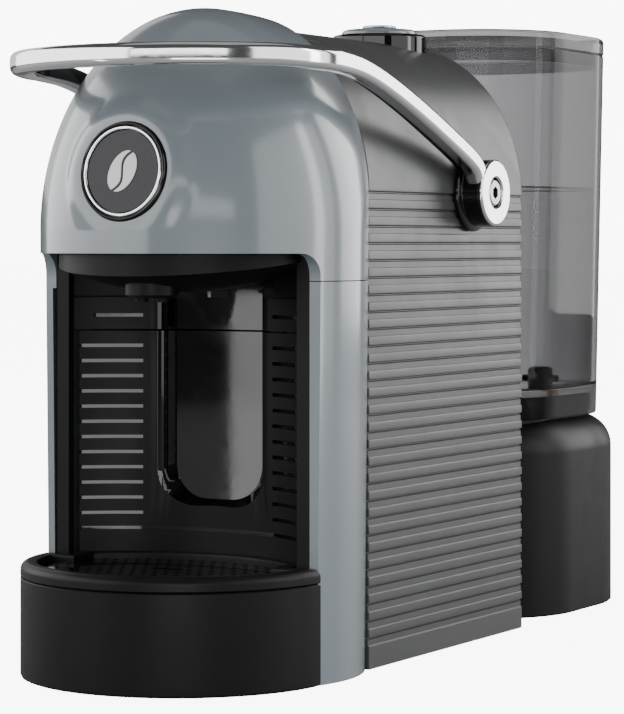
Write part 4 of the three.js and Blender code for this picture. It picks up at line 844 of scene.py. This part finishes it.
class MACHINE_OT_badge(PieceOperator):
    """Round badge: black bezel, bright ring, dark disc and a coffee bean"""
    bl_idname = "machine.badge"
    bl_label = "Badge"

    def make(self, sizes):
        seat, ring = 2.2, BADGE_RADIUS - 1.3
        profile = [(0, seat), (ring + 0.3, seat), (ring + 0.3, 0.3), (BADGE_RADIUS - 0.5, 0.0),
                   (BADGE_RADIUS, 0.4), (BADGE_RADIUS, 7), (0, 7)]
        bezel = lathe("bezel_badge", profile, BADGE_AT, BADGE_TURN, 96)
        round_edges(bezel, 0.2)
        settle(bezel, "gloss_black", "housing", "badge_bezel")
        back = seat - GAP
        profile = [(ring - 1.2, back), (ring - 1.2, 0.4), (ring - 0.6, 0.2), (ring, 0.4), (ring, back)]
        trim = lathe("ring_badge", profile, BADGE_AT, BADGE_TURN, 96)
        round_edges(trim, 0.25)
        settle(trim, "chrome_plate", "housing", "badge_ring")
        edge = ring - 1.5
        profile = [(0, 0.7), (edge, 0.8), (edge, back), (0, back)]
        plate = lathe("disc_badge", profile, BADGE_AT, BADGE_TURN, 96)
        settle(plate, "disc_metal", "housing", "badge_disc", slot="plain_steel")
        put = Matrix.Translation(Vector(BADGE_AT) * MM) @ BADGE_TURN
        half_width, half_length, line_half = 4.8, 7.2, 0.55
        bean = prism("emblem_bean", arc((0, 0), (half_width, half_length), 0, 360, 64)[:-1], 0.35, 0.9)
        groove = [(1.4 * math.sin(z / half_length * math.pi), z) for z in range(-9, 10)]
        line = [(x - line_half, z) for x, z in groove] + [(x + line_half, z) for x, z in reversed(groove)]
        cut(bean, prism("tool", line, -1.0, 2.0))
        bean.data.transform(put @ Matrix.Rotation(math.radians(28), 4, "Z"))
        settle(bean, "emblem_white", "housing", slot="plain_steel")


def recess_outline(half, low, corner, top):
    """U-shaped outline in X and Z."""
    right = arc((half - corner, low + corner), (corner, corner), 0, -90, 12)
    left = arc((corner - half, low + corner), (corner, corner), -90, -180, 12)
    return [(half, top), *right, *left, (-half, top)]


def recess_tool():
    """Tool for the sloping U recess with its flat floor, as (depth, half width, foot, corner) places."""
    floor = WALL_DEEPEST + RECESS_DEPTH
    top = LEDGE_TOP + 8
    places = [(WALL_AXIS, RECESS_OUTER, RECESS_LOW, 15), (floor - 8.4, RECESS_OUTER, RECESS_LOW, 15),
              (floor - 7.2, RECESS_OUTER - 0.6, RECESS_LOW + 0.5, 14.6),
              (floor - 0.6, RECESS_INNER + 0.5, RECESS_LOW + 5.6, 12.4),
              (floor, RECESS_INNER, RECESS_LOW + 6, 12)]
    return skin("tool", [[(x, y, z) for x, z in recess_outline(half, low, corner, top)]
                         for y, half, low, corner in places])


def wall_slab(name, radius, thickness, half, low, high):
    """A stretch of the concave wall."""
    front = wall_arc(radius, half)
    back = list(reversed(wall_arc(radius + thickness, half)))
    return prism(name, [*front, *back], low, high)


def polish_recess(obj):
    """Gives the faces inside the recess the polished finish."""
    obj.data.materials.append(FINISHES["matte_black"])

    def inside(middle, face):
        surface = WALL_AXIS + math.sqrt(max(0.0, WALL_RADIUS ** 2 - middle.x ** 2))
        return abs(middle.x) < RECESS_OUTER + 0.2 and middle.z > RECESS_LOW and face.normal.y < 0.05 \
            and surface + 0.15 < middle.y < WALL_DEEPEST + RECESS_DEPTH + 0.1
    paint_faces(obj, "gloss_black", inside)


def wall_slots(z, inner, outer):
    """Tools for a pair of shallow slots in the concave wall, right and left."""
    return [keep_inside(side_block(side, inner, outer, (WALL_AXIS, z), (0, z + SLOT_HEIGHT)),
                        rod("tool", WALL_RADIUS + SLOT_DEPTH, z - 1, z + 3, (0, WALL_AXIS, 0), steps=144))
            for side in (1, -1)]


def polish_slots(obj):
    """Gives the floors of the slots the polished finish."""
    def floor_of_slot(middle, face):
        depth = math.hypot(middle.x, middle.y - WALL_AXIS) - WALL_RADIUS
        return abs(depth - SLOT_DEPTH) < 0.2 and face.normal.y < 0
    paint_faces(obj, "gloss_black", floor_of_slot)


class MACHINE_OT_bay_liner(PieceOperator):
    """Black liner of the cup bay: flanges, ledge and the top of the recess"""
    bl_idname = "machine.bay_liner"
    bl_label = "Bay Liner"

    def make(self, sizes):
        half, low, high, face = LINER_HIGH.x, DRAWER_TOP + GAP, LINER_HIGH.z, LINER_LOW.y
        span = half - 0.5
        liner = wall_slab("liner_bay", WALL_RADIUS, 5.4, span, low, LEDGE_TOP)
        floor = WALL_DEEPEST + RECESS_DEPTH
        pan = RECESS_OUTER + 3
        join(liner, block("tool", (-pan, WALL_DEEPEST, low), (pan, floor + WALL, LEDGE_TOP)),
             wall_slab("tool", WALL_RADIUS + 3, 2.4, span, LEDGE_TOP - 1, high))
        for side in (1, -1):
            inner = half - FLANGE_WIDTH + GAP
            join(liner, side_block(side, inner, half, (face, LINER_LOW.z), (face + 3.2, high)),
                 side_block(side, half - 2, half, (face, low), (BAY_FACE + 14, high)))
        row = SLOT_TOP + 2 * SLOT_PITCH
        cut(liner, recess_tool(), *wall_slots(row, SLOT_INNER, DRAWER_HALF - 4))
        polish_recess(liner)
        polish_slots(liner)
        round_edges(liner, 0.35, 2, 45)
        settle(liner, "matte_black", "housing", "bay_liner", angle=40)


class MACHINE_OT_brew_head(PieceOperator):
    """Shallow bowl under the hood and the spout with two tips"""
    bl_idname = "machine.brew_head"
    bl_label = "Brew Head"

    def make(self, sizes):
        bottom, top = COVER_LOW.z, COVER_HIGH.z
        rise, reach, centre = 12.08, FRONT_HALF + 9, BAY_FACE + 1
        radius = (BAY_HALF ** 2 + rise ** 2) / (2 * rise)

        def bowl(name, lift):
            dish = [(reach * i / 24, bottom + lift + radius - math.sqrt(radius ** 2 - (reach * i / 24) ** 2))
                    for i in range(25)]
            return lathe(name, [*dish, (reach, top + 20), (0, top + 20)], (0, centre, 0), steps=128)

        def plan(name, inset):
            a, b = FRONT_HALF - 8 - inset, FRONT_DEPTH - FRONT_WALL - GAP - inset
            front = arc((0, FRONT_CENTRE), (a, b), 198, 342, 64)
            rear = wall_arc(WALL_RADIUS - GAP - inset, DRAWER_HALF - inset, 24)
            return prism(name, [*rear, *front], bottom - 2, top + (5 if inset else 0))

        cover = keep_inside(bowl("cover_brew_head", 0), plan("tool", 0))
        well = SPOUT_HIGH.x + GAP
        spout_y = (SPOUT_LOW.y + SPOUT_HIGH.y) / 2
        sides = [side_block(side, DRAWER_HALF, FAR, (BAY_FACE, bottom - 5), (BAY_FACE + 50, top + 5))
                 for side in (1, -1)]
        cut(cover, keep_inside(bowl("tool", 2), plan("tool", 2)), *sides,
            rod("tool", well, bottom - 20, top + 20, (0, spout_y, 0)))
        round_edges(cover, 0.3, 2, 50)
        settle(cover, "matte_black", "housing", "brew_head_cover", angle=40)

        end = SPOUT_LOW.z + 1.4
        profile = [(0, end), (SPOUT_HIGH.x - 1, end), (SPOUT_HIGH.x, end + 1), (SPOUT_HIGH.x, SPOUT_HIGH.z),
                   (0, SPOUT_HIGH.z)]
        spout = lathe("spout_coffee", profile, (0, spout_y, 0), steps=96)
        for x in (-4, 4):
            tip = [(1.2, SPOUT_LOW.z), (2.0, SPOUT_LOW.z), (2.5, end + 1), (1.2, end + 1)]
            join(spout, lathe("tool", tip, (x, spout_y, 0), steps=32))
        round_edges(spout, 0.3, 3)
        settle(spout, "matte_black", "housing", "coffee_spout")


class MACHINE_OT_capsule_bin(PieceOperator):
    """Capsule bin, whose front is the slotted concave wall"""
    bl_idname = "machine.capsule_bin"
    bl_label = "Capsule Bin"

    def make(self, sizes):
        top, floor = BIN_HIGH.z, WALL_DEEPEST + RECESS_DEPTH
        wall = wall_slab("bin_wall", WALL_RADIUS, WALL, DRAWER_HALF - 0.2, BIN_LOW.z, top)
        half = RECESS_OUTER + 3
        pan = block("tool", (-half, WALL_DEEPEST, RECESS_LOW - 3), (half, floor + WALL, top))
        box = block("tool", (-30, floor - 2, 8), (30, BIN_HIGH.y, 100))
        round_edges(box, 3, 5)
        join(wall, pan, box)
        cut(wall, block("tool", (-28, floor + WALL, 10), (28, BIN_HIGH.y - 2, 105)), recess_tool())
        slots = []
        for row in range(SLOT_COUNT + 1):
            inner = SLOT_INNER if row < SLOT_COUNT else 0
            slots += wall_slots(SLOT_TOP - SLOT_PITCH * row, inner, DRAWER_HALF + 2)
        cut(wall, *slots)
        polish_recess(wall)
        polish_slots(wall)
        round_edges(wall, 0.25, 2, 60)
        settle(wall, "matte_black", "drawer", "capsule_bin", angle=40)


def tray_ring(inset, z):
    """Plan of the drip tray at one height."""
    return [(x, y, z) for x, y in tray_outline(inset, inset / 2)]


class MACHINE_OT_drip_drawer(PieceOperator):
    """Drip tray, its rounded rim and the perforated grid"""
    bl_idname = "machine.drip_drawer"
    bl_label = "Drip Drawer"

    def make(self, sizes):
        low, high = TRAY_LOW.z, TRAY_HIGH.z
        outer = [(1.2, low), (0.4, low + 0.3), (0, low + 1.2), (0, high - 0.35), (0.35, high)]
        inner = [(2.0, high), (2.2, high - 0.3), (2.2, low + 2.2)]
        tray = skin("tray_drip", placed_rings(tray_ring, outer + inner))
        settle(tray, "matte_black", "drawer", "drip_tray", angle=40)

        low, high, rounding = RIM_LOW.z, RIM_HIGH.z, sizes.rim_rounding
        edge, shelf = GRID_RIM - GAP, GRID_LOW.z - GAP
        places = [(0.35, low), (0, low + 0.35)]
        places += [(rounding * inward, high - rounding * down) for inward, down in quarter(8)]
        places += [(edge - 0.8, high - 0.05), (edge - 0.2, high - 0.4), (edge, high - 1.0), (edge, shelf),
                   (edge + 2, shelf), (edge + 2, low), places[0]]
        rim = skin("rim_tray", placed_rings(tray_ring, places))
        settle(rim, "matte_black", "drawer", "tray_rim", angle=40)
        self.make_grid()

    def make_grid(self):
        """A sheet with staggered round holes and a finger slot, trimmed to the tray."""
        middle_y, top, low = BAY_FACE - 8, GRID_HIGH.z, GRID_LOW.z
        pitch, row_share, radius, slot_clear, reach = 4.3, 0.866, 0.95, 8, 41
        grid = prism("grid_drip", tray_outline(GRID_RIM, GRID_RIM / 2), low, top)
        places = []
        for row in range(-12, 13):
            for column in range(-12, 13):
                spot = Vector(((column + row % 2 / 2) * pitch, row * pitch * row_share))
                if slot_clear < Vector((spot.x, spot.y * 2.5)).length and spot.length < reach:
                    places.append((spot.x, middle_y + spot.y))
        first_x, first_y = places[0]
        punch = rod("punch", radius, low - 3, top + 3, (first_x, first_y, 0), steps=10)
        shifts = [Vector((x - first_x, y - first_y, 0)) * MM for x, y in places[1:]]
        punches = [copy_of(punch, "punch", Matrix.Translation(shift)) for shift in shifts]
        select_only(punch)
        for other in punches:
            other.select_set(True)
        bpy.ops.object.join()
        slot = arc((5, middle_y), (1.4, 1.4), -90, 90, 8)
        slot += [(-x, 2 * middle_y - y) for x, y in slot]
        cut(grid, punch, prism("tool", slot, low - 3, top + 3))
        round_edges(grid, 0.2, 1, 60)
        settle(grid, "gloss_black", "grid", "drip_grid", angle=40)


# ---- Lever ----
def smooth_path(points, steps):
    """Catmull-Rom curve through the points."""
    padded = [points[0] * 2 - points[1], *points, points[-1] * 2 - points[-2]]
    path = []
    for i in range(1, len(padded) - 2):
        a, b, c, d = padded[i - 1:i + 3]
        for k in range(steps):
            t = k / steps
            path.append(0.5 * (2 * b + (c - a) * t + (2 * a - 5 * b + 4 * c - d) * t ** 2
                               + (3 * b - a - 3 * c + d) * t ** 3))
    return path + [points[-1]]


def lever_path(steps=6):
    """Centre line of the bar: two cranked arms and a half-elliptical bow."""
    knee, shoulder = (LEVER_AXIS.y - 14.7, LEVER_AXIS.z + 11.1), LEVER_TOP - 0.9
    arm = [(LEVER_AXIS.y - 8.3, LEVER_AXIS.z + 4.5), knee]
    for along, up in ((0.24, 0.319), (0.473, 0.599), (0.695, 0.829), (0.859, 0.954)):
        arm.append((lerp(knee[0], BOW_CENTRE, along), lerp(knee[1], shoulder, up)))
    bow = []
    for i in range(25):
        angle = math.pi * i / 24
        bow.append(Vector((ARM_X * math.cos(angle), BOW_CENTRE - (BOW_CENTRE - LEVER_FRONT) * math.sin(angle),
                           lerp(shoulder, LEVER_TOP, min(1, 2 * math.sin(angle))))))
    right = [Vector((ARM_X, y, z)) for y, z in arm]
    left = [Vector((-ARM_X, y, z)) for y, z in reversed(arm)]
    return smooth_path(right + bow + left, steps)


def sweep(name, path, section):
    """Sweeps a section of (outward, upward) points along a path without letting it roll."""
    rings = []
    for i, point in enumerate(path):
        ahead = (path[min(i + 1, len(path) - 1)] - path[max(i - 1, 0)]).normalized()
        outward = Vector((ahead.y, -ahead.x, 0)).normalized()
        away = Vector((point.x, min(0.0, point.y - BOW_CENTRE), 0))
        if outward.dot(away) < 0:
            outward.negate()
        up = outward.cross(ahead).normalized()
        if up.z < 0:
            up.negate()
        rings.append([point + outward * out + up * rise for out, rise in section])
    return skin(name, rings)


def rounded_section(half_width, half_height, corner, centre=0.0, steps=4):
    """Rounded rectangle as (outward, upward) points."""
    return [(centre + x, y) for x, y in rounded_square(half_width, -half_height, half_height, corner, steps)]


class MACHINE_OT_lever(PieceOperator):
    """Bright lever bar, its black insert, and the hubs with their caps and screws"""
    bl_idname = "machine.lever"
    bl_label = "Lever"

    def make(self, sizes):
        path = lever_path()
        bar = sweep("bar_lever", path, rounded_section(BAR_HALF_WIDTH, BAR_HALF_HEIGHT, 2.4, steps=6))
        along_x = Matrix.Rotation(math.radians(90), 4, "Y")
        axis = (0, LEVER_AXIS.y, LEVER_AXIS.z)
        cut(bar, rod("tool", HUB_RADIUS + GAP, -FAR, FAR, axis, along_x))
        settle(bar, "chrome_plate", "lever", "lever_bar", angle=50)
        insert = sweep("insert_lever", path, rounded_section(0.7, 2.6, 0.4, centre=-4.5, steps=2))
        cut(insert, rod("tool", HUB_RADIUS + GAP + 2, -FAR, FAR, axis, along_x))
        settle(insert, "gloss_black", "lever", "lever_insert", angle=40)
        self.make_hubs(axis, along_x)

    def make_hubs(self, axis, along_x):
        """The right hub, cap and screw, and their mirrored copies on the left."""
        flank, face = SHELL_HIGH.x + GAP, CAP_LOW.x - GAP
        foot = HUB_RADIUS + 2
        profile = [(4.3, flank), (foot, flank), (foot, flank + 1.2), (foot - 0.5, flank + 1.7),
                   (HUB_RADIUS, flank + 2.2), (HUB_RADIUS, face), (2.1, face), (2.1, face - 2),
                   (4.3, face - 2)]
        hub = lathe("hub_moulded_right", profile, axis, along_x, 96)
        round_edges(hub, 0.3)
        outer = CAP_HIGH.x
        profile = [(5.4, face + GAP), (HUB_RADIUS, face + GAP), (HUB_RADIUS, outer - 0.6),
                   (HUB_RADIUS - 0.7, outer), (6.0, outer), (5.4, outer - 0.6)]
        cap = lathe("cap_hub_right", profile, axis, along_x, 96)
        round_edges(cap, 0.18)
        profile = [(0, face + GAP), (4.6, face + GAP), (4.6, outer - 0.7), (4.2, outer - 0.4),
                   (0, outer - 0.4)]
        head = lathe("screw_hub_right", profile, axis, along_x, 48)
        cut(head, rod("tool", 2.3, outer - 1.3, outer + 3, axis, along_x, 6))
        round_edges(head, 0.12, 2)
        for piece, finish, part in ((hub, "gloss_black", "hub"), (cap, "chrome_plate", "hub_cap"),
                                    (head, "plain_steel", "hub_screw")):
            twin = copy_of(piece, piece.name.replace("right", "left"), MIRROR)
            settle(piece, finish, "lever", part + "_right")
            settle(twin, finish, "lever", part + "_left")


class MACHINE_OT_capsule_lid(PieceOperator):
    """Curved lid over the capsule slot"""
    bl_idname = "machine.capsule_lid"
    bl_label = "Capsule Lid"

    def make(self, sizes):
        def edge(inset):
            half, rise = SHELL_HIGH.x - inset, ARCH_RISE - inset
            reach = math.degrees(math.acos(LID_HIGH.x / half))
            return arc((0, ARCH_START), (half, rise), reach, 180 - reach, 24)
        lid = prism("lid_capsule", [*edge(0), *reversed(edge(SHELL_WALL))], LID_LOW.y, LID_HIGH.y, axis="y")
        round_edges(lid, 0.4, 3, 45)
        settle(lid, "body_paint", "lid", "capsule_lid")


class MACHINE_OT_power_button(PieceOperator):
    """Domed power button, its disc and its black collar"""
    bl_idname = "machine.power_button"
    bl_label = "Power Button"

    def make(self, sizes):
        at, top = (0, BUTTON_Y, 0), COLLAR_HIGH.z
        seat, well, outer = top - 2.8, BUTTON_RADIUS + 0.5, COLLAR_HIGH.x
        profile = [(5, seat), (5, seat - 2), (outer, seat - 9), (outer, top - 1.0), (outer - 0.9, top),
                   (well + 0.3, top), (well, top - 0.3), (well, seat)]
        collar = lathe("collar_button", profile, at, steps=96)
        round_edges(collar, 0.3)
        settle(collar, "gloss_black", "housing", "button_bezel")
        high = BUTTON_HIGH.z
        dome = arc((BUTTON_RADIUS - 1.8, high - 2.1), (1.8, 1.6), 0, 80, 8)
        cap = lathe("cap_button", [(0, BUTTON_LOW.z), (4.5, BUTTON_LOW.z), (4.5, top - 0.2),
                                   (BUTTON_RADIUS - 0.4, top - 0.2), (BUTTON_RADIUS, top + 0.1), *dome,
                                   (BUTTON_RADIUS * 0.6, high - 0.12), (0, high)], at, steps=96)
        settle(cap, "hood_paint", "button", "power_button", angle=40)
        low_disc, high_disc = box_mm("button_disc")
        edge = high_disc.x
        disc = lathe("disc_button", [(0, low_disc.z), (edge, low_disc.z), (edge, high_disc.z - 0.25),
                                     (edge - 0.3, high_disc.z), (edge - 1.2, high_disc.z),
                                     (edge - 1.5, high_disc.z - 0.2), (0, high_disc.z - 0.25)], at)
        settle(disc, "plain_steel", "button", "button_disc", angle=25)


# ---- Rear base and water tank ----
def base_ring(inset, z):
    """Plan of the rear base at one height."""
    outline = rounded_square(BASE_HIGH.x - inset, BASE_FRONT + inset, BASE_HIGH.y - inset,
                             max(4, BASE_HIGH.x - 10 - inset))
    return [(x, y, z) for x, y in outline]


def tank_ring(inset, z):
    """Plan of the tank at one height. Its sides lean in towards the foot."""
    draft = TANK_DRAFT * (TANK_HIGH.z - z) / (TANK_HIGH.z - TANK_LOW.z)
    shrink = inset + draft
    outline = rounded_square(TANK_HIGH.x - shrink, BASE_FRONT + 0.5 + inset, TANK_HIGH.y - shrink,
                             TANK_CORNER - shrink)
    return [(x, y, z) for x, y in outline]


class MACHINE_OT_rear_base(PieceOperator):
    """Black rear base with a soft top edge, its neck, and the gland at the back"""
    bl_idname = "machine.rear_base"
    bl_label = "Rear Base"

    def make(self, sizes):
        rounding = sizes.base_rounding
        places = [(1.0, BASE_LOW.z), (0, BASE_LOW.z + 0.8)]
        places += [(rounding * inward, BASE_TOP - rounding * down) for inward, down in quarter(16)]
        base = skin("base_rear", placed_rings(base_ring, places))
        neck = block("tool", (-38, SHELL_HIGH.y + GAP, BASE_LOW.z), (38, BASE_FRONT + 10, BASE_TOP - 13))
        round_edges(neck, 1.0, 2)
        join(base, neck, skin("tool", [tank_ring(4, BASE_TOP - 4), tank_ring(4, BASE_HIGH.z)]))
        gland_low, gland_high = box_mm("cable_gland")
        at = (0, BASE_HIGH.y, (gland_low.z + gland_high.z) / 2)
        turn = Matrix.Rotation(math.radians(90), 4, "X")
        cut(base, rod("tool", 4.3, -5, 10, at, turn, 48),
            rod("tool", 5, 60, 90, (FILTER_X, FILTER_Y, 0), steps=48))
        settle(base, "matte_black", "housing", "rear_base", angle=40)
        ribs = [(4.0 if i % 2 else 3.5, 0.4 + 0.5 * i) for i in range(8)]
        gland = lathe("gland_cord", [(2.6, 0.3), (3.6, 0.3), *ribs, (4.0, 5.5), (2.6, 5.5)], at, turn, 48)
        settle(gland, "black_rubber", "housing", "cable_gland")


class MACHINE_OT_water_tank(PieceOperator):
    """Smoky clear tank with its lid, its filter and the water in it"""
    bl_idname = "machine.water_tank"
    bl_label = "Water Tank"

    def make(self, sizes):
        low, high = TANK_LOW.z, TANK_HIGH.z
        floor, wall = low + 11.2, 2.0
        foot = [(wall, floor - 2.5), (wall, low + 0.2), (wall - 0.4, low), (0.5, low), (0.1, low + 0.2)]
        outside = [(0, low + 0.8), (0, floor), (0, high - 0.4), (0.4, high)]
        inside = [(wall - 0.4, high), (wall, high - 0.4), (wall, floor + 2.0), (wall + 0.6, floor + 0.6),
                  (wall + 2, floor)]
        tank = skin("tank_clear", placed_rings(tank_ring, foot + outside + inside))
        settle(tank, "smoke_clear", "tank", "water_tank", angle=50)
        paint_faces(tank, "smoke_foot", lambda middle, face: middle.z < floor + 1.0)
        film, level = wall + 0.25, sizes.water_level
        below = [(film + 2, floor + 0.25), (film + 0.6, floor + 0.85), (film, floor + 2.2),
                 (film, level - 0.8)]
        surface = [(film, level), (film + 0.5, level - 0.35), (film + 1.5, level - 0.5)]
        water = skin("water_in_tank", placed_rings(tank_ring, below + surface))
        settle(water, "water", "tank", angle=50, slot="smoke_clear")
        # The quads round the rim of the water's surface take the dark smoky finish: a painted dark line of shade
        # along the water's edge
        paint_faces(water, "smoke_foot", lambda middle, face: middle.z > level - 0.9 and len(face.verts) < 5)
        self.make_lid(wall)
        self.make_filter()

    def make_lid(self, wall):
        """Lid with a plug that reaches down into the tank."""
        low, top, seat = TANK_LID_LOW.z, TANK_LID_HIGH.z, TANK_HIGH.z + GAP
        plug = wall + GAP + 0.2
        places = [(plug + 2.5, top - 2.5), (plug + 2.5, low), (plug, low), (plug, seat), (0.4, seat),
                  (0, seat + 0.4), (0, top - 1.6), (0.5, top - 0.5), (1.6, top)]
        lid = skin("lid_tank", placed_rings(tank_ring, places))
        settle(lid, "smoke_dark", "tank_cover", "tank_lid", angle=40, slot="smoke_clear")

    def make_filter(self):
        """Filter cage with a chamfered top and two ears."""
        x, y = FILTER_X, FILTER_Y
        low, high = FILTER_LOW.z, FILTER_HIGH.z
        profile = [(3.3, low), (4.2, low), (4.2, high - 1.2), (3.1, high), (0, high), (0, high - 1.2),
                   (3.3, high - 1.2)]
        cage = lathe("cage_filter", profile, (x, y, 0), steps=48)
        along_x = Matrix.Rotation(math.radians(90), 4, "Y")
        for side in (1, -1):
            near, far = sorted((side * 3.8, side * 6.5))
            join(cage, rod("tool", 1.3, near, far, (x, y, low + 3.1), along_x, 24))
        cut(cage, block("tool", (x - 1.2, y - 6, low + 1.7), (x + 1.2, y + 6, low + 5.2)))
        round_edges(cage, 0.15, 2)
        settle(cage, "matte_black", "tank", "tank_filter")


# ---- Springs, and the finishes of the rest of the frame ----
def coil(name, centre, radius, wire, low, high, turns):
    """A round wire wound into a spring between two heights."""
    rings, steps = [], turns * 24
    for i in range(steps + 1):
        turn = 2 * math.pi * turns * i / steps
        outward = Vector((math.cos(turn), math.sin(turn), 0))
        middle = Vector((*centre, lerp(low + wire, high - wire, i / steps))) + outward * radius
        rings.append([middle + outward * a + Vector((0, 0, b))
                      for a, b in arc((0, 0), (wire, wire), 0, 360, 10)[:-1]])
    return skin(name, rings)


class MACHINE_OT_springs(PieceOperator):
    """Coil springs of the button and the tank valve"""
    bl_idname = "machine.springs"
    bl_label = "Springs"

    def make(self, sizes):
        for part, body, joint, wire, turns, fixed_high in (
                ("button_spring", "housing", "power_button_press", 0.5, 4, False),
                ("valve_spring", "tank", "tank_valve_open", 0.35, 3, True)):
            low, high = box_mm(part)
            middle = (low + high) / 2
            radius = (high.x - low.x) / 2 - wire
            spring = coil("coil_" + part, (middle.x, middle.y), radius, wire, low.z, high.z, turns)
            settle(spring, "plain_steel", body, part)
            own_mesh(spring)


class MACHINE_OT_frame_finishes(PieceOperator):
    """Gives each remaining frame part its own finish"""
    bl_idname = "machine.frame_finishes"
    bl_label = "Frame Finishes"

    def make(self, sizes):
        slots = {part["node"]: part["material_slot"] for part in frame["record"]["subparts"]}
        for name, obj in frame["nodes"].items():
            finish = FINISHES[slots[name]]
            if not obj.material_slots:
                obj.data.materials.append(finish)
            for slot in obj.material_slots:
                slot.material = finish


# ---- Stage ----
def softbox(name, azimuth, distance, width, low, high, brightness, about):
    """Upright soft light facing a point on the floor. Azimuth 0 is in front and grows to the right."""
    angle = math.radians(azimuth)
    place = Vector((about[0] + math.sin(angle) * distance, about[1] - math.cos(angle) * distance,
                    (low + high) / 2)) * MM
    bpy.ops.object.light_add(type="AREA", location=place, rotation=(math.pi / 2, 0, angle))
    set_lamp(name, width, high - low, brightness)


def set_lamp(name, width, tall, brightness):
    """Sets the new lamp's size, and its power from the brightness of its face."""
    lamp = bpy.context.object
    lamp.name = name
    lamp.data.shape = "RECTANGLE"
    lamp.data.size, lamp.data.size_y = width * MM, tall * MM
    lamp.data.energy = brightness * math.pi * width * tall * MM * MM
    lamp.visible_camera = False
    lamp.visible_transmission = False


class MACHINE_OT_stage(PieceOperator):
    """Pale floor, soft studio lights and the camera"""
    bl_idname = "machine.stage"
    bl_label = "Stage"

    def make(self, sizes):
        self.make_floor()
        self.make_world()
        for light in LIGHTS:
            softbox(*light)
        width, height, brightness = 1300, 1600, 0.3
        bpy.ops.object.light_add(type="AREA", location=(0, 0, height * MM))
        set_lamp("light_top", width, width, brightness)
        bpy.ops.object.camera_add(location=CAMERA_PLACE,
                                  rotation=(math.radians(90), 0, math.radians(CAMERA_AZIMUTH)))
        camera = bpy.context.object
        camera.name = "camera_main"
        camera.data.sensor_width = 36
        camera.data.lens = CAMERA_LENS
        camera.data.shift_y = CAMERA_SHIFT
        bpy.context.scene.camera = camera

    def make_floor(self):
        """Pale floor that looks bright from above and throws little light back up."""
        floor = start("floor_pale", bpy.ops.mesh.primitive_plane_add, size=30)
        with Editing(floor, "FACE"):
            bpy.ops.mesh.select_all(action="SELECT")
            bpy.ops.mesh.subdivide(number_cuts=3)
        finish = moulded("Pale floor", (0.3, 0.3, 0.3), 0.6, 0.02, grain_mm=3, bump_mm=0.0, patch_mm=400,
                         shade=0.995, Emission_Color=(1, 1, 1, 1))
        tree = finish.node_tree
        glow = glow_by_ray(tree, 0.0, {"Is Transmission Ray": 1.0, "Is Camera Ray": 8.3})
        tree.links.new(glow, tree.nodes["Principled BSDF"].inputs["Emission Strength"])
        floor.data.materials.append(finish)

    def make_world(self):
        """Bright backdrop behind the machine, with a soft and dimmer light all round it."""
        world = bpy.data.worlds.new("Studio")
        bpy.context.scene.world = world
        world.use_nodes = True
        tree = world.node_tree
        level = glow_by_ray(tree, 0.08, {"Is Camera Ray": 9.0, "Is Transmission Ray": 1.1,
                                         "Is Diffuse Ray": 0.25})
        tree.links.new(level, tree.nodes["Background"].inputs["Strength"])
        tree.nodes["Background"].inputs["Color"].default_value = (1, 1, 1, 1)


class MACHINE_PT_sidebar(bpy.types.Panel):
    """Sizes, colours and one button for each group of pieces"""
    bl_label = "Pod Coffee Machine"
    bl_space_type = "VIEW_3D"
    bl_region_type = "UI"
    bl_category = "Coffee Machine"

    def draw(self, context):
        for group in (context.scene.machine_sizes, context.scene.machine_colours):
            box = self.layout.box()
            for name in group.bl_rna.properties.keys():
                if name not in ("rna_type", "name"):
                    box.prop(group, name)
        for operator in OPERATORS:
            self.layout.operator(operator.bl_idname)


OPERATORS = (
    MACHINE_OT_finishes, MACHINE_OT_body_shell, MACHINE_OT_rear_cover, MACHINE_OT_front_shells,
    MACHINE_OT_badge, MACHINE_OT_bay_liner, MACHINE_OT_brew_head, MACHINE_OT_capsule_bin,
    MACHINE_OT_drip_drawer, MACHINE_OT_lever, MACHINE_OT_capsule_lid, MACHINE_OT_power_button,
    MACHINE_OT_rear_base, MACHINE_OT_water_tank, MACHINE_OT_springs, MACHINE_OT_frame_finishes,
    MACHINE_OT_stage,
)
CLASSES = (MachineSizes, MachineColours, *OPERATORS, MACHINE_PT_sidebar)


def register():
    for cls in CLASSES:
        bpy.utils.register_class(cls)
    bpy.types.Scene.machine_sizes = PointerProperty(type=MachineSizes)
    bpy.types.Scene.machine_colours = PointerProperty(type=MachineColours)


def unregister():
    del bpy.types.Scene.machine_colours
    del bpy.types.Scene.machine_sizes
    for cls in reversed(CLASSES):
        bpy.utils.unregister_class(cls)


def main():
    """Runs the operators in order."""
    register()
    for operator in OPERATORS:
        family, action = operator.bl_idname.split(".")
        getattr(getattr(bpy.ops, family), action)()
    bpy.context.view_layer.update()


if __name__ == "__main__":
    main()
